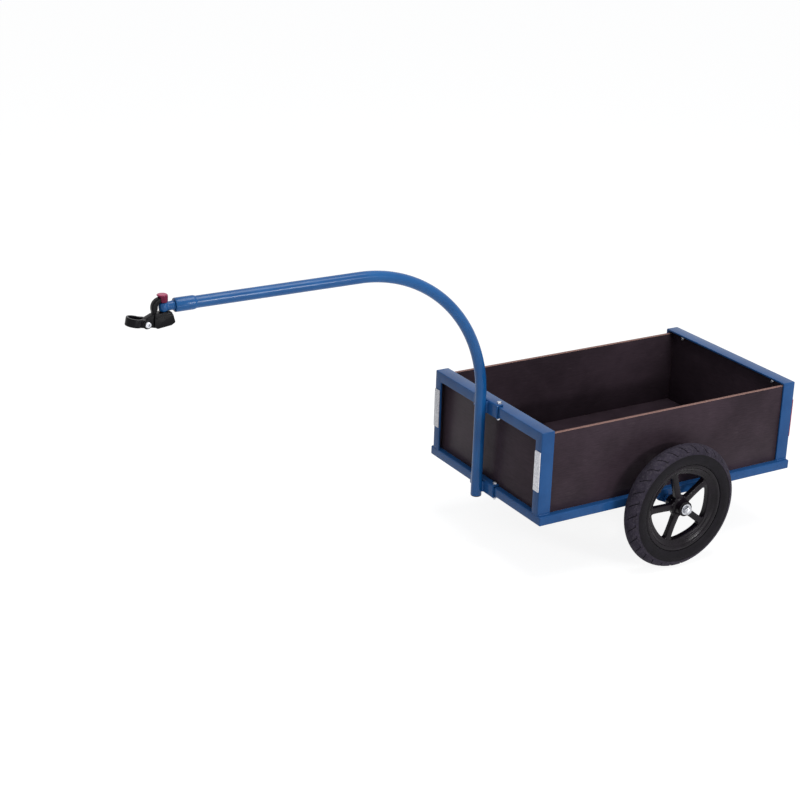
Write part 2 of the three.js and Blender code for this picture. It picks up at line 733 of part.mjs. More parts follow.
// Fork: a block, a hook over the eye and the pivot lug, drawn about the pin's point on the arm's axis
function couplingFork() {
  const hook = new THREE.Shape();
  hook.moveTo(forkHookInnerFoot, forkBlockTop - joinDepth);
  hook.lineTo(forkHookFoot, forkBlockTop - joinDepth);
  hook.absarc(forkHookCentreFromPin, forkHookCentreUp, forkHookRadius, 0, Math.PI / 2, false);
  hook.absarc(forkHookCentreFromPin, forkHookInnerUp, forkHookInnerRadius, Math.PI / 2, 0, true);
  const hookTop = forkHookCentreUp + forkHookRadius;
  const hookUnder = forkHookInnerUp + forkHookInnerRadius;
  const bar = block([0, -forkHookWidth / 2, hookUnder],
    [forkHookCentreFromPin + joinDepth, forkHookWidth / 2, hookTop]);
  const body = new THREE.Shape();
  body.moveTo(forkBlockRearTop, forkBlockTop);
  body.lineTo(forkBlockRearFoot, forkBlockRearLow);
  body.lineTo(forkBlockFlatFrom, forkBlockFlatLow);
  body.lineTo(forkBlockFront - forkSeatRadius / 2, forkBlockFrontLow);
  body.lineTo(forkBlockFront, forkBlockFrontLow + forkSeatRadius / 2);
  body.lineTo(forkBlockFront, forkBlockTop);
  const lug = new THREE.Shape();
  lug.moveTo(forkSeatRadius, forkBlockTop);
  lug.lineTo(forkSeatRadius, forkBlockFrontLow);
  lug.lineTo(pivotFromPin, -pivotBelowArm - forkLugRadius);
  lug.absarc(pivotFromPin, -pivotBelowArm, forkLugRadius, -Math.PI / 2, Math.PI / 3, false);
  lug.lineTo(forkHookFoot, forkBlockTop);
  const seatTop = -eyeHeight / 2 - seatGap;
  const pieces = [
    plateXZ(hook, -forkHookWidth / 2, forkHookWidth / 2),
    bar,
    rod(forkBossRadius, hookUnder, hookTop, shaftSides),
    plateXZ(body, -forkBlockWidth / 2, forkBlockWidth / 2),
    plateXZ(lug, -forkLugWidth / 2, forkLugWidth / 2),
    rod(forkSeatRadius, forkBlockTop - joinDepth, seatTop, shaftSides),
  ];
  const pinFoot = seatTop - pinBlindDepth - seatGap;
  const pinHole = rod(pinRadius + shaftGap, pinFoot, hookTop + cutReach, shaftSides);
  const pivotHole = placed(alongY(rod(pivotBoltRadius + shaftGap, -forkLugWidth, forkLugWidth, shaftSides)),
    pivotFromPin, 0, -pivotBelowArm);
  return placed(cut(join(...pieces), pinHole, pivotHole), pinFromAxle, 0, armZ);
}

const hookTopZ = armZ + forkHookCentreUp + forkHookRadius;
const knobTopZ = hookTopZ + seatGap + knobCap;

function lockingPin() {
  const foot = armZ - eyeHeight / 2 - seatGap - pinBlindDepth;
  const tip = hookTopZ + seatGap + knobPinDepth;
  return placed(rod(pinRadius, foot, tip, shaftSides), pinFromAxle, 0, 0);
}

// The knob is a cap over the hook's end, with a slot for the hook in its skirt
function releaseKnob() {
  const skirtFoot = knobTopZ - knobHeight;
  const outline = [[0, knobTopZ], [knobRadius - knobBevel, knobTopZ], [knobRadius, knobTopZ - knobBevel],
    [knobFootRadius, skirtFoot], [forkBossRadius + seatGap, skirtFoot],
    [forkBossRadius + seatGap, hookTopZ + seatGap], [0, hookTopZ + seatGap]];
  const slot = block([0, -forkHookWidth / 2 - seatGap, skirtFoot - cutReach],
    [knobRadius + cutReach, forkHookWidth / 2 + seatGap, hookTopZ + seatGap]);
  const boreTop = hookTopZ + 2 * seatGap + knobPinDepth;
  const bore = rod(pinRadius + shaftGap, hookTopZ - cutReach, boreTop, shaftSides);
  return placed(cut(turned(outline, shaftSides), slot, bore), pinFromAxle, 0, 0);
}

// Seat-post clamp, drawn about the pivot with the seat post upright, then leaned back
function postClamp() {
  const half = clampHeight / 2;
  const earInner = forkLugWidth / 2 + seatGap;
  const earOuter = earInner + clampEarWall;
  const band = placed(rod(postRadius + clampWall, -half, half, shaftSides), clampReach, 0, 0);
  const ear = new THREE.Shape();
  ear.absarc(0, 0, clampEarRadius, Math.PI / 2, -Math.PI / 2, false);
  ear.lineTo(clampReach - postRadius, -half);
  ear.lineTo(clampReach - postRadius, half);
  const ears = [plateXZ(ear, -earOuter, -earInner), plateXZ(ear, earInner, earOuter)];
  const bore = placed(rod(postRadius, -clampHeight, clampHeight, shaftSides), clampReach, 0, 0);
  const slot = block([-clampReach, -earInner, -clampHeight], [clampReach, earInner, clampHeight]);
  const holeEnd = earOuter + cutReach;
  const pivotHole = alongY(rod(pivotBoltRadius + shaftGap, -holeEnd, holeEnd, shaftSides));
  return cut(join(band, ...ears), bore, slot, pivotHole);
}

const earFace = forkLugWidth / 2 + seatGap + clampEarWall;
const washerOuter = earFace + seatGap + pivotWasherThickness;

function pivotBolt() {
  const headFrom = washerOuter + seatGap;
  const tail = -earFace - seatGap - pivotNutHeight - pivotTail;
  const shank = rod(pivotBoltRadius, tail, headFrom + joinDepth, shaftSides);
  return alongY(join(shank, rod(pivotHeadRadius, headFrom, headFrom + pivotBoltHead, shaftSides)));
}

function pivotWasher() {
  const inner = earFace + seatGap;
  return alongY(ring(pivotBoltRadius + shaftGap, pivotWasherRadius, inner, washerOuter, shaftSides));
}

function pivotNut() {
  const inner = -earFace - seatGap;
  const outer = inner - pivotNutHeight;
  const body = hexRod(pivotBoltFlats, outer, inner);
  const bore = rod(pivotBoltRadius + shaftGap, outer - cutReach, inner + cutReach, shaftSides);
  return alongY(cut(body, bore));
}

// Finishes, as colour, roughness and metalness
function finish(color, roughness, metalness) {
  return () => new THREE.MeshStandardMaterial({ color, roughness, metalness });
}

const finishes = {
  bluePaint: finish(0x3f6fa8, 0.4, 0.1),
  blackPaint: finish(0x26262a, 0.5, 0.2),
  ply: finish(0x3a3236, 0.5, 0),
  zinc: finish(0xc8cace, 0.3, 1),
  steel: finish(0xa8abb0, 0.35, 1),
  tyreRubber: finish(0x2e2c32, 0.85, 0),
  tubeRubber: finish(0x1c1c1e, 0.7, 0),
  blackPlastic: finish(0x1e1e21, 0.55, 0),
  redPlastic: finish(0xc0203a, 0.35, 0),
  whiteReflector: finish(0xdadade, 0.25, 0),
  redReflector: finish(0xb01820, 0.25, 0),
};

const trailer = new THREE.Group();

function add(name, geometry, made, parent = trailer) {
  const mesh = new THREE.Mesh(closed(geometry), made());
  mesh.geometry.computeVertexNormals();
  mesh.name = name;
  parent.add(mesh);
}

const ends = { front: 1, rear: -1 };
const sides = { left: 1, right: -1 };

// Box
for (const [end, front] of Object.entries(ends)) {
  add(`base_rail_${end}`, baseEndRail(front), finishes.bluePaint);
  add(`top_rail_${end}`, topRail(front), finishes.bluePaint);
  add(`panel_${end}`, endPanel(front), finishes.ply);
  for (const [sideName, side] of Object.entries(sides)) {
    add(`post_${end}_${sideName}`, cornerPost(front, side), finishes.bluePaint);
    add(`screw_${end}_${sideName}`, panelScrew(front, side), finishes.zinc);
    const lens = front > 0 ? finishes.whiteReflector : finishes.redReflector;
    add(`reflector_${end}_${sideName}`, reflector(front, side), lens);
  }
}
add('panel_floor', floorPanel(), finishes.ply);

// Axle and wheels
add('axle', axle(), finishes.steel);
for (const [sideName, side] of Object.entries(sides)) {
  add(`base_rail_${sideName}`, baseSideRail(side), finishes.bluePaint);
  add(`panel_${sideName}`, sidePanel(side), finishes.ply);
  add(`axle_bracket_${sideName}`, axleBracket(side), finishes.bluePaint);
  add(`axle_washer_${sideName}`, axleWasher(side), finishes.zinc);
  add(`axle_nut_${sideName}`, axleNut(side), finishes.zinc);
  add(`tyre_${sideName}`, facingOut(tyre(), side), finishes.tyreRubber);
  add(`inner_tube_${sideName}`, facingOut(innerTube(), side), finishes.tubeRubber);
  add(`rim_${sideName}`, facingOut(rim(), side), finishes.blackPlastic);
  add(`bearing_outer_${sideName}`, facingOut(bearing(1), side), finishes.steel);
  add(`bearing_inner_${sideName}`, facingOut(bearing(-1), side), finishes.steel);
}

// Towing arm and its saddles
add('arm_tube', armTube(), finishes.bluePaint);
add('arm_cap', armCap(), finishes.blackPlastic);
const saddles = { upper: [frameTop - endLeg, frameTop], lower: [baseBottom, baseTop] };
for (const [level, span] of Object.entries(saddles)) {
  add(`arm_saddle_${level}`, armSaddle(...span), finishes.bluePaint);
  for (const [sideName, side] of Object.entries(sides)) {
    add(`arm_bolt_${level}_${sideName}`, armBolt(...span, side), finishes.zinc);
  }
}

// Coupling
add('swivel_sleeve', swivelSleeve(), finishes.bluePaint);
add('coupling_eye', couplingEye(), finishes.bluePaint);
add('swivel_nut', swivelNut(), finishes.zinc);
add('coupling_fork', couplingFork(), finishes.blackPaint);
add('locking_pin', lockingPin(), finishes.steel);
add('release_knob', releaseKnob(), finishes.redPlastic);

const clamp = new THREE.Group();
clamp.position.set(pivotX, 0, pivotZ);
clamp.rotation.y = -THREE.MathUtils.degToRad(postLeanDegrees);
trailer.add(clamp);
add('post_clamp', postClamp(), finishes.blackPaint, clamp);
add('pivot_bolt', pivotBolt(), finishes.zinc, clamp);
add('pivot_washer', pivotWasher(), finishes.blackPaint, clamp);
add('pivot_nut', pivotNut(), finishes.zinc, clamp);

// The origin is on the ground, under the middle of the whole trailer
trailer.updateMatrixWorld(true);
const extent = new THREE.Box3().setFromObject(trailer, true);
trailer.position.x = -(extent.min.x + extent.max.x) / 2;

export default trailer;
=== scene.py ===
# %% [markdown]
# # A cargo bike trailer, dressed for its picture
# The trailer comes as a fixed frame of named solids, with every size already right. This notebook puts
# finished surfaces over those solids: rolled steel with soft edges, plywood with bare edges, moulded
# wheels and zinc bolts. Shapes are worked out in millimetres as whole arrays of points, and turned into
# metres when a mesh is made.

import bpy
import numpy as np
from mathutils import Matrix, Vector


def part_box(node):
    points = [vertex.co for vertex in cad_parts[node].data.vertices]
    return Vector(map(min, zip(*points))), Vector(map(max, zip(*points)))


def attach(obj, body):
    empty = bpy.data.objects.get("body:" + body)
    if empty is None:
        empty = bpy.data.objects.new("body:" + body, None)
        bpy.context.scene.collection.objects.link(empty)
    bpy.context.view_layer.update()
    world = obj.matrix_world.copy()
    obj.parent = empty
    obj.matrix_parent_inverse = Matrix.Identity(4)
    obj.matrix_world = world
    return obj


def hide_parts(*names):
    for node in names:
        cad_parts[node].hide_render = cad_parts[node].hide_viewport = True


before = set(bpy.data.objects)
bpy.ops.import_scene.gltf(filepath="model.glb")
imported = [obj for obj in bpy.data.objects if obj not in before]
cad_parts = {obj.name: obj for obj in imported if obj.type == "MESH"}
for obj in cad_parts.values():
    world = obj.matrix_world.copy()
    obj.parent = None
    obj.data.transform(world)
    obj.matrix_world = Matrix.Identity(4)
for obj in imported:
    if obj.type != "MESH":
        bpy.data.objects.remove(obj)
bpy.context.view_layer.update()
MM = 0.001
TURN = 2 * np.pi


def corners(node):
    """A CAD node's lowest and highest corner, in millimetres."""
    low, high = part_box(node)
    return np.array(low) / MM, np.array(high) / MM


# %% [markdown]
# ## The places everything hangs on
# A frame builder works from a few lines: the axle, the four faces of the box, and the height of the arm.
# They are read from the frame, so the dressing can't drift away from the solids. HAND is the sign of Y on
# each side. FACE holds the box's outer face at each end, with the sign of X from there into the box.

# %% Main places
AXLE = sum(corners("axle")) / 2
POST_HIGH = corners("post_front_left")[1]
FRONT, SIDE = POST_HIGH[0], POST_HIGH[1]
REAR = corners("post_rear_left")[0][0]
JOINT_GAP = 0.15
TOP = POST_HIGH[2] + JOINT_GAP
BASE_LOW, BASE_HIGH = corners("base_rail_left")
BASE_SIDE, BASE_TOP, BASE_FOOT = BASE_HIGH[1], BASE_HIGH[2], BASE_LOW[2]
BASE_WIDTH = 35.0
WALL = 5.0
SIDE_LEG = 35.0
END_LEG = 25.0
ARM_LOW, ARM_HIGH = corners("arm_tube")
ARM_RADIUS = 13.45
ARM_Z = ARM_HIGH[2] - ARM_RADIUS
ARM_X = ARM_LOW[0] + ARM_RADIUS
PIN_X = (sum(corners("locking_pin")) / 2)[0]
PIVOT = sum(corners("pivot_bolt")) / 2 * (1, 0, 1)
LEAN = np.radians(12)
HAND = {"left": 1, "right": -1}
FACE = {"front": (FRONT, -1), "rear": (REAR, 1)}
FORWARD, SIDEWAYS = (1, 0, 0), (0, 1, 0)
OUTWARDS = {"left": (0, 1, 0), "right": (0, -1, 0)}
print("axle", AXLE.round(2), "front", FRONT, "rear", REAR, "side", SIDE, "top", TOP, "arm", ARM_Z)

# %% [markdown]
# ## Rings of points
# Nearly every piece here is one closed skin made of rings: a rod, a bent tube, a rail, a tyre. One
# function turns an array of rings into points and faces, and finds out from the volume whether the faces
# point outwards.


# %% Closed skins
def shell(rings, joined=False):
    """A closed skin from rings of points, rings[i, j] being point j of ring i. Four-sided faces join each
    ring to the next. The last ring joins the first one if joined, and else a flat face closes each end.
    The skin's volume is a third of the sum of (point . face normal x area), and the faces are turned round
    if it is negative."""
    rings = np.asarray(rings, float)
    count, around = rings.shape[:2]
    index = np.arange(count * around).reshape(count, around)
    here, after = (index, np.roll(index, -1, 0)) if joined else (index[:-1], index[1:])
    quads = np.stack([here, np.roll(here, -1, 1), np.roll(after, -1, 1), after], -1).reshape(-1, 4)
    points = rings.reshape(-1, 3)
    lids = [] if joined else [index[0][::-1], index[-1]]
    about = points - points.mean(0)
    fans = [np.stack([np.full(around - 2, lid[0]), lid[1:-1], lid[2:]], -1) for lid in lids]
    triangles = np.concatenate([quads[:, [0, 1, 2]], quads[:, [0, 2, 3]], *fans])
    a, b, c = about[triangles].swapaxes(0, 1)
    if np.einsum("ij,ij", a, np.cross(b, c)) < 0:
        quads = quads[:, ::-1]
        lids = [lid[::-1] for lid in lids]
    return points, quads.tolist() + [lid.tolist() for lid in lids]


def moved(skin, x_axis=(1, 0, 0), z_axis=(0, 0, 1), origin=(0, 0, 0)):
    """The skin's points turned so that their X and Z lie along two given directions, then shifted: x *
    x_axis + y * (z_axis cross x_axis) + z * z_axis + origin."""
    points, faces = skin
    x_axis, z_axis = np.array(x_axis, float), np.array(z_axis, float)
    turn = np.stack([x_axis, np.cross(z_axis, x_axis), z_axis])
    return points @ turn + np.array(origin, float), faces


def upright(skin, origin=(0, 0, 0)):
    """A skin whose outline was drawn in X and Z: its Y and Z change places, and its faces are turned back
    outwards."""
    points, faces = skin
    return points[:, [0, 2, 1]] + np.array(origin, float), [face[::-1] for face in faces]


print("closed skins are ready")

# %% [markdown]
# ## From skins to objects
# A piece is one or more closed skins in a single mesh. Faces are smooth except where two of them meet at a
# sharp angle, as on a real pressed or turned part. The object stays at the origin and its place is in its
# mesh, so patterns on object coordinates stay put when a wheel turns.

# %% Make a piece
MADE = []


def piece(name, skins, material, body, nodes=(), sharp=32, values=None):
    """One object from several skins, riding on a CAD body and standing for the named CAD nodes. values
    holds named numbers for every point, in the skins' order, that a material can read."""
    skins = skins if isinstance(skins, list) else [skins]
    starts = np.cumsum([0] + [len(points) for points, _ in skins])
    points = np.concatenate([points for points, _ in skins]) * MM
    faces = [[v + start for v in face] for (_, part), start in zip(skins, starts) for face in part]
    mesh = bpy.data.meshes.new(name)
    mesh.from_pydata(points.tolist(), [], faces)
    mesh.polygons.foreach_set("use_smooth", np.ones(len(mesh.polygons), bool))
    mesh.set_sharp_from_angle(angle=np.radians(sharp))
    for label, numbers in (values or {}).items():
        layer = mesh.attributes.new(label, "FLOAT", "POINT")
        layer.data.foreach_set("value", np.asarray(numbers, np.float32).ravel())
    mesh.materials.append(material)
    mesh.update()
    obj = bpy.data.objects.new(name, mesh)
    bpy.context.scene.collection.objects.link(obj)
    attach(obj, body)
    if nodes:
        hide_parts(*nodes)
    MADE.append((name, len(faces)))
    return obj


print("pieces so far:", len(MADE))

# %% [markdown]
# ## Outlines and how they become solids
# Flat parts start as an outline whose corners are rounded by arcs. A prism lifts that outline, drawing it
# in a little at both ends so that the edges catch the light. A turned part carries a profile round an
# axis, and a bent part carries a section along a path.


# %% Outline helpers
def filleted(points, radii, steps=5):
    """A closed outline with each corner replaced by an arc that touches both of its sides. The arc's
    centre lies on the line that halves the corner, radius / sin(half angle) away, and its points turn
    evenly about it."""
    points = np.asarray(points, float)
    before = np.roll(points, 1, 0) - points
    after = np.roll(points, -1, 0) - points
    before /= np.linalg.norm(before, axis=1, keepdims=True)
    after /= np.linalg.norm(after, axis=1, keepdims=True)
    half = np.arccos(np.clip((before * after).sum(1), -1, 1)) / 2
    radii = np.broadcast_to(np.asarray(radii, float), half.shape)
    middle = (before + after) / np.linalg.norm(before + after, axis=1, keepdims=True)
    centre = points + middle * (radii / np.sin(half))[:, None]
    first = points + before * (radii / np.tan(half))[:, None] - centre
    last = points + after * (radii / np.tan(half))[:, None] - centre
    sweep = (np.pi - 2 * half)[:, None, None]
    share = np.linspace(0, 1, steps)[None, :, None]
    arc = np.sin((1 - share) * sweep) * first[:, None] + np.sin(share * sweep) * last[:, None]
    return (centre[:, None] + arc / np.sin(sweep)).reshape(-1, 2)


def rectangle(width, height, radius=1.0, centre=(0, 0), steps=5):
    """A rounded rectangle about a centre."""
    w, h = width / 2, height / 2
    return filleted([(-w, -h), (w, -h), (w, h), (-w, h)], radius, steps) + np.array(centre, float)


def circle(radius, sides=48, start=0.0):
    """Points at even angles round a circle."""
    angle = start + TURN * np.arange(sides) / sides
    return radius * np.stack([np.cos(angle), np.sin(angle)], -1)


def outward(outline):
    """The unit normals of an outline: the direction between each point's neighbours, turned a quarter
    outwards."""
    along = np.roll(outline, -1, 0) - np.roll(outline, 1, 0)
    along /= np.linalg.norm(along, axis=1, keepdims=True)
    x, y = outline.T
    area = (x * np.roll(y, -1) - y * np.roll(x, -1)).sum()
    return np.sign(area) * np.stack([along[:, 1], -along[:, 0]], -1)


def soft_ends(low, high, radius, steps=4):
    """Levels for a prism as (inset, height) pairs: a quarter circle at each end, inset = r (1 - sin a) and
    height = r (1 - cos a) from the end."""
    angle = np.linspace(0, np.pi / 2, steps)
    inset, rise = radius * (1 - np.sin(angle)), radius * (1 - np.cos(angle))
    lower = np.stack([inset, low + rise], -1)
    upper = np.stack([inset, high - rise], -1)[::-1]
    return np.concatenate([lower, upper])


def at_height(outline, height):
    """A flat outline as points at one height."""
    return np.column_stack([outline, np.full(len(outline), height)])


def prism(outline, levels):
    """An outline lifted through levels of (inset, height): each ring is outline - inset * normal."""
    normal = outward(outline)
    return shell([at_height(outline - inset * normal, height) for inset, height in levels])


def slab(outline, low, high, soft=1.0):
    """A prism with rounded ends."""
    return prism(outline, soft_ends(low, high, soft))


def turned(profile, sides=64, joined=False):
    """A profile of (radius, height) pairs turned about Z: x = r cos a, y = r sin a, z = h. A closed
    profile is joined, as for a washer or a tyre, and an open one gets a flat face at each end."""
    profile = np.asarray(profile, float)
    angle = TURN * np.arange(sides) / sides
    x = profile[:, :1] * np.cos(angle)
    y = profile[:, :1] * np.sin(angle)
    z = np.repeat(profile[:, 1:], sides, 1)
    return shell(np.stack([x, y, z], -1), joined)


def washer(inner, outer, low, high, soft=0.4, sides=48):
    """A turned ring of rectangular section with rounded corners."""
    section = rectangle(outer - inner, high - low, soft, ((inner + outer) / 2, (low + high) / 2), 4)
    return turned(section, sides, joined=True)


def carried(sections, path, side):
    """Sections carried along a path: ring i is path_i + u * side + v * up_i, where up is side cross the
    path's direction. sections is one outline of (u, v) pairs, or one for every point of the path."""
    path = np.asarray(path, float)
    along = np.gradient(path, axis=0)
    along /= np.linalg.norm(along, axis=1, keepdims=True)
    side = np.broadcast_to(np.array(side, float), path.shape)
    up = np.cross(along, side)
    up /= np.linalg.norm(up, axis=1, keepdims=True)
    sections = np.broadcast_to(sections, (len(path), *np.shape(sections)[-2:]))
    return shell(path[:, None] + sections[..., :1] * side[:, None] + sections[..., 1:] * up[:, None])


def bead(start, end, radius=2.2, ripple=1.8, side=(0, 0, 1)):
    """A weld bead from start to end: a round bar whose radius rises and falls with every drop of weld, r
    (1 + 0.13 |sin(pi s / ripple)|), drawn in at both ends."""
    start, end = np.array(start, float), np.array(end, float)
    length = np.linalg.norm(end - start)
    count = max(int(length / ripple * 5), 12)
    share = np.linspace(0, 1, count)
    path = start + (end - start) * share[:, None]
    swell = 1 + 0.13 * np.abs(np.sin(np.pi * share * length / ripple))
    taper = np.sqrt(np.clip(1 - (2 * np.abs(share - 0.5)) ** 14, 0.03, 1))
    return carried(circle(radius, 14)[None] * (swell * taper)[:, None, None], path, side)


print("outline helpers are ready")

# %% [markdown]
# ## Shader maths as plain expressions
# Blender's shader maths is a net of nodes. A small class wraps a socket so that `1 - mask * 0.5` makes
# those nodes by itself, and one method of the net adds any other node with its settings and its inputs.


# %% Shader helpers
def tone(red, green, blue):
    """A colour given as it looks on a screen, 0 to 255, as the linear light that a shader wants."""
    share = np.array([red, green, blue], float) / 255
    linear = np.where(share <= 0.04045, share / 12.92, ((share + 0.055) / 1.055) ** 2.4)
    return (*linear.round(5).tolist(), 1.0)


class Value:
    """A shader socket that can be used in sums. Each operator adds one Math node."""

    def __init__(self, net, socket):
        self.net, self.socket = net, socket

    def maths(self, operation, *others):
        return self.net.node("ShaderNodeMath", {"operation": operation}, dict(enumerate(others)))

    def __add__(self, other):
        return self.maths("ADD", self, other)

    def __rsub__(self, other):
        return self.maths("SUBTRACT", other, self)

    def __mul__(self, other):
        return self.maths("MULTIPLY", self, other)

    def sine(self):
        return self.maths("SINE", self)

    def largest(self, other):
        return self.maths("MAXIMUM", self, other)

    def ramp(self, low, high, first=0.0, last=1.0):
        """first below low, last above high, and a smooth rise between them."""
        settings = {"interpolation_type": "SMOOTHSTEP"}
        return self.net.node("ShaderNodeMapRange", settings, {0: self, 1: low, 2: high, 3: first, 4: last})


class Net:
    """The empty node tree of a material or a world. node() adds any node, with its settings and its
    inputs."""

    def __init__(self, owner):
        owner.use_nodes = True
        self.tree = owner.node_tree
        self.tree.nodes.clear()

    def node(self, kind, settings=None, inputs=None, output=0):
        made = self.tree.nodes.new(kind)
        for label, setting in (settings or {}).items():
            setattr(made, label, setting)
        for label, value in (inputs or {}).items():
            if isinstance(value, Value):
                self.tree.links.new(value.socket, made.inputs[label])
            else:
                made.inputs[label].default_value = value
        return Value(self, made.outputs[output]) if made.outputs else None


class Finish(Net):
    """A material under construction. shade() ends it with a Principled surface."""

    def __init__(self, name):
        self.material = bpy.data.materials.new(name)
        super().__init__(self.material)
        self.place = self.node("ShaderNodeTexCoord", output="Object")

    def stretched(self, scale, centre=(0, 0, 0)):
        """Object coordinates about a centre, in metres, times a scale for each axis."""
        shifted = self.node("ShaderNodeVectorMath", {"operation": "SUBTRACT"}, {0: self.place, 1: centre})
        return self.node("ShaderNodeVectorMath", {"operation": "MULTIPLY"}, {0: shifted, 1: scale})

    def noise(self, scale, detail=3.0, roughness=0.5, place=None):
        inputs = {"Vector": place or self.place, "Scale": scale, "Detail": detail, "Roughness": roughness}
        return self.node("ShaderNodeTexNoise", inputs=inputs)

    def blend(self, share, first, last):
        return self.node("ShaderNodeMix", {"data_type": "RGBA"}, {0: share, 6: first, 7: last}, output=2)

    def attribute(self, label):
        return self.node("ShaderNodeAttribute", {"attribute_name": label}, output="Fac")

    def bump(self, height, distance, strength=1.0):
        inputs = {"Strength": strength, "Distance": distance, "Height": height}
        return self.node("ShaderNodeBump", inputs=inputs)

    def shade(self, **inputs):
        names = {key.replace("_", " "): value for key, value in inputs.items()}
        surface = self.node("ShaderNodeBsdfPrincipled", inputs=names)
        self.node("ShaderNodeOutputMaterial", inputs={"Surface": surface})
        return self.material


print("shader helpers are ready")

# %% [markdown]
# ## Powder coat, blue and black
# The frame is powder coated: a thick glossy skin with a fine orange-peel ripple, that pools a little
# unevenly and so varies in depth of colour. The arm's coat is a little brighter, and the black coupling's
# is duller. All three are one recipe with other numbers.


# %% Powder coats
def powder_coat(name, deep, light, rough, ripple, mirror):
    """Colour drifts between two tones over a hand's width, gloss over a finger's, and the ripple is 2 mm
    wide."""
    finish = Finish(name)
    drift = finish.noise(9.0, 4.0).ramp(0.32, 0.68)
    speck = finish.noise(900.0, 2.0).ramp(0.60, 0.75)
    colour = finish.blend(drift, deep, light)
    colour = finish.blend(speck * 0.12, colour, light)
    peel = finish.noise(480.0, 2.0)
    gloss = finish.noise(60.0, 3.0).ramp(0.3, 0.7, rough - 0.05, rough + 0.07)
    return finish.shade(Base_Color=colour, Roughness=gloss, Normal=finish.bump(peel, ripple), Metallic=0.0,
                        Specular_IOR_Level=mirror)


BLUE = powder_coat("blue powder coat", tone(32, 76, 129), tone(40, 87, 143), 0.17, 0.00003, 0.14)
ARM_BLUE = powder_coat("glossy blue coat", tone(19, 82, 142), tone(27, 94, 156), 0.18, 0.000008, 0.28)
BLACK_COAT = powder_coat("black powder coat", tone(12, 11, 15), tone(20, 18, 23), 0.20, 0.00005, 0.12)
print("paints:", BLUE.name, ARM_BLUE.name, BLACK_COAT.name)

# %% [markdown]
# ## Phenolic plywood
# The panels are birch plywood under a dark resin film. The film is smooth with a faint cloudy print and
# hair-fine handling marks. The sawn edges are bare: pinkish veneers, light and dark in turn. Each panel
# carries two numbers for every point: edge says whether it is on a sawn edge, and depth how far it lies
# through the board.


# %% Plywood
def plywood(name, deep, light, rough):
    """A film with clouds, grain and scuffs, and on the sawn edges veneers, sin(5.2 depth), with fibres."""
    finish = Finish(name)
    cloud = finish.noise(7.0, 5.0, 0.6).ramp(0.3, 0.7)
    grain = finish.noise(40.0, 4.0, 0.55, finish.stretched((1.0, 1.0, 14.0))).ramp(0.35, 0.65)
    scuff = finish.noise(22.0, 6.0, 0.7, finish.stretched((1.0, 1.0, 3.0))).ramp(0.58, 0.74)
    film = finish.blend(cloud * 0.7 + grain * 0.3, deep, light)
    film = finish.blend(scuff * 0.16, film, tone(96, 86, 90))
    through = finish.attribute("depth")
    layer = (through * 5.2 + finish.noise(9.0, 2.0) * 0.6).sine().ramp(-0.5, 0.5)
    fibre = finish.noise(260.0, 3.0, 0.6).ramp(0.3, 0.7)
    veneer = finish.blend(layer, tone(112, 80, 76), tone(176, 142, 132))
    veneer = finish.blend(fibre * 0.35, veneer, tone(92, 62, 58))
    edge = finish.attribute("edge")
    colour = finish.blend(edge.ramp(0.45, 0.55), film, veneer)
    height = cloud * 0.2 + fibre * 0.5 * edge + finish.noise(700.0, 2.0) * 0.15
    gloss = scuff.ramp(0.0, 1.0, rough, rough + 0.12) + edge * 0.3
    return finish.shade(Base_Color=colour, Roughness=gloss, Normal=finish.bump(height, 0.0002), Metallic=0.0,
                        Specular_IOR_Level=0.05)


PLY = plywood("phenolic plywood", tone(48, 39, 45), tone(67, 55, 63), 0.30)
print("boards:", PLY.name)

# %% [markdown]
# ## Bright metal
# Nuts, washers and screws are zinc plated, which is bright with a faint cloud. The axle and the locking
# pin are turned steel, with finer marks. Both are metals, so nearly all of their look comes from what they
# reflect.


# %% Metals
def bright_metal(name, dull, bright, rough, squeeze):
    """A cloud and fine marks, the marks squeezed along each axis by a number."""
    finish = Finish(name)
    cloud = finish.noise(120.0, 3.0).ramp(0.3, 0.7)
    fine = finish.noise(900.0, 2.0, 0.6, finish.stretched(squeeze)).ramp(0.3, 0.7)
    colour = finish.blend(cloud * 0.6 + fine * 0.4, dull, bright)
    gloss = (cloud * 0.5 + fine * 0.5).ramp(0.0, 1.0, rough, rough + 0.14)
    return finish.shade(Base_Color=colour, Roughness=gloss, Normal=finish.bump(fine, 0.00003), Metallic=1.0)


ZINC = bright_metal("zinc plate", tone(168, 170, 176), tone(214, 215, 220), 0.22, (1.0, 1.0, 1.0))
STEEL = bright_metal("turned steel", tone(126, 128, 134), tone(178, 180, 186), 0.26, (1.0, 6.0, 1.0))
print("metals:", ZINC.name, STEEL.name)

# %% [markdown]
# ## Rubber and plastics
# Tyre rubber is a dark grey-violet and quite matt, dusty on the tread and smoother on the wall. The wheel
# is glass filled black nylon with a slight sheen. The release knob is red, and the reflectors are prisms
# behind clear resin.

# %% Rubber and moulded plastics
WHEEL_CENTRE = {side: sum(corners("rim_" + side)) / 2 for side in HAND}


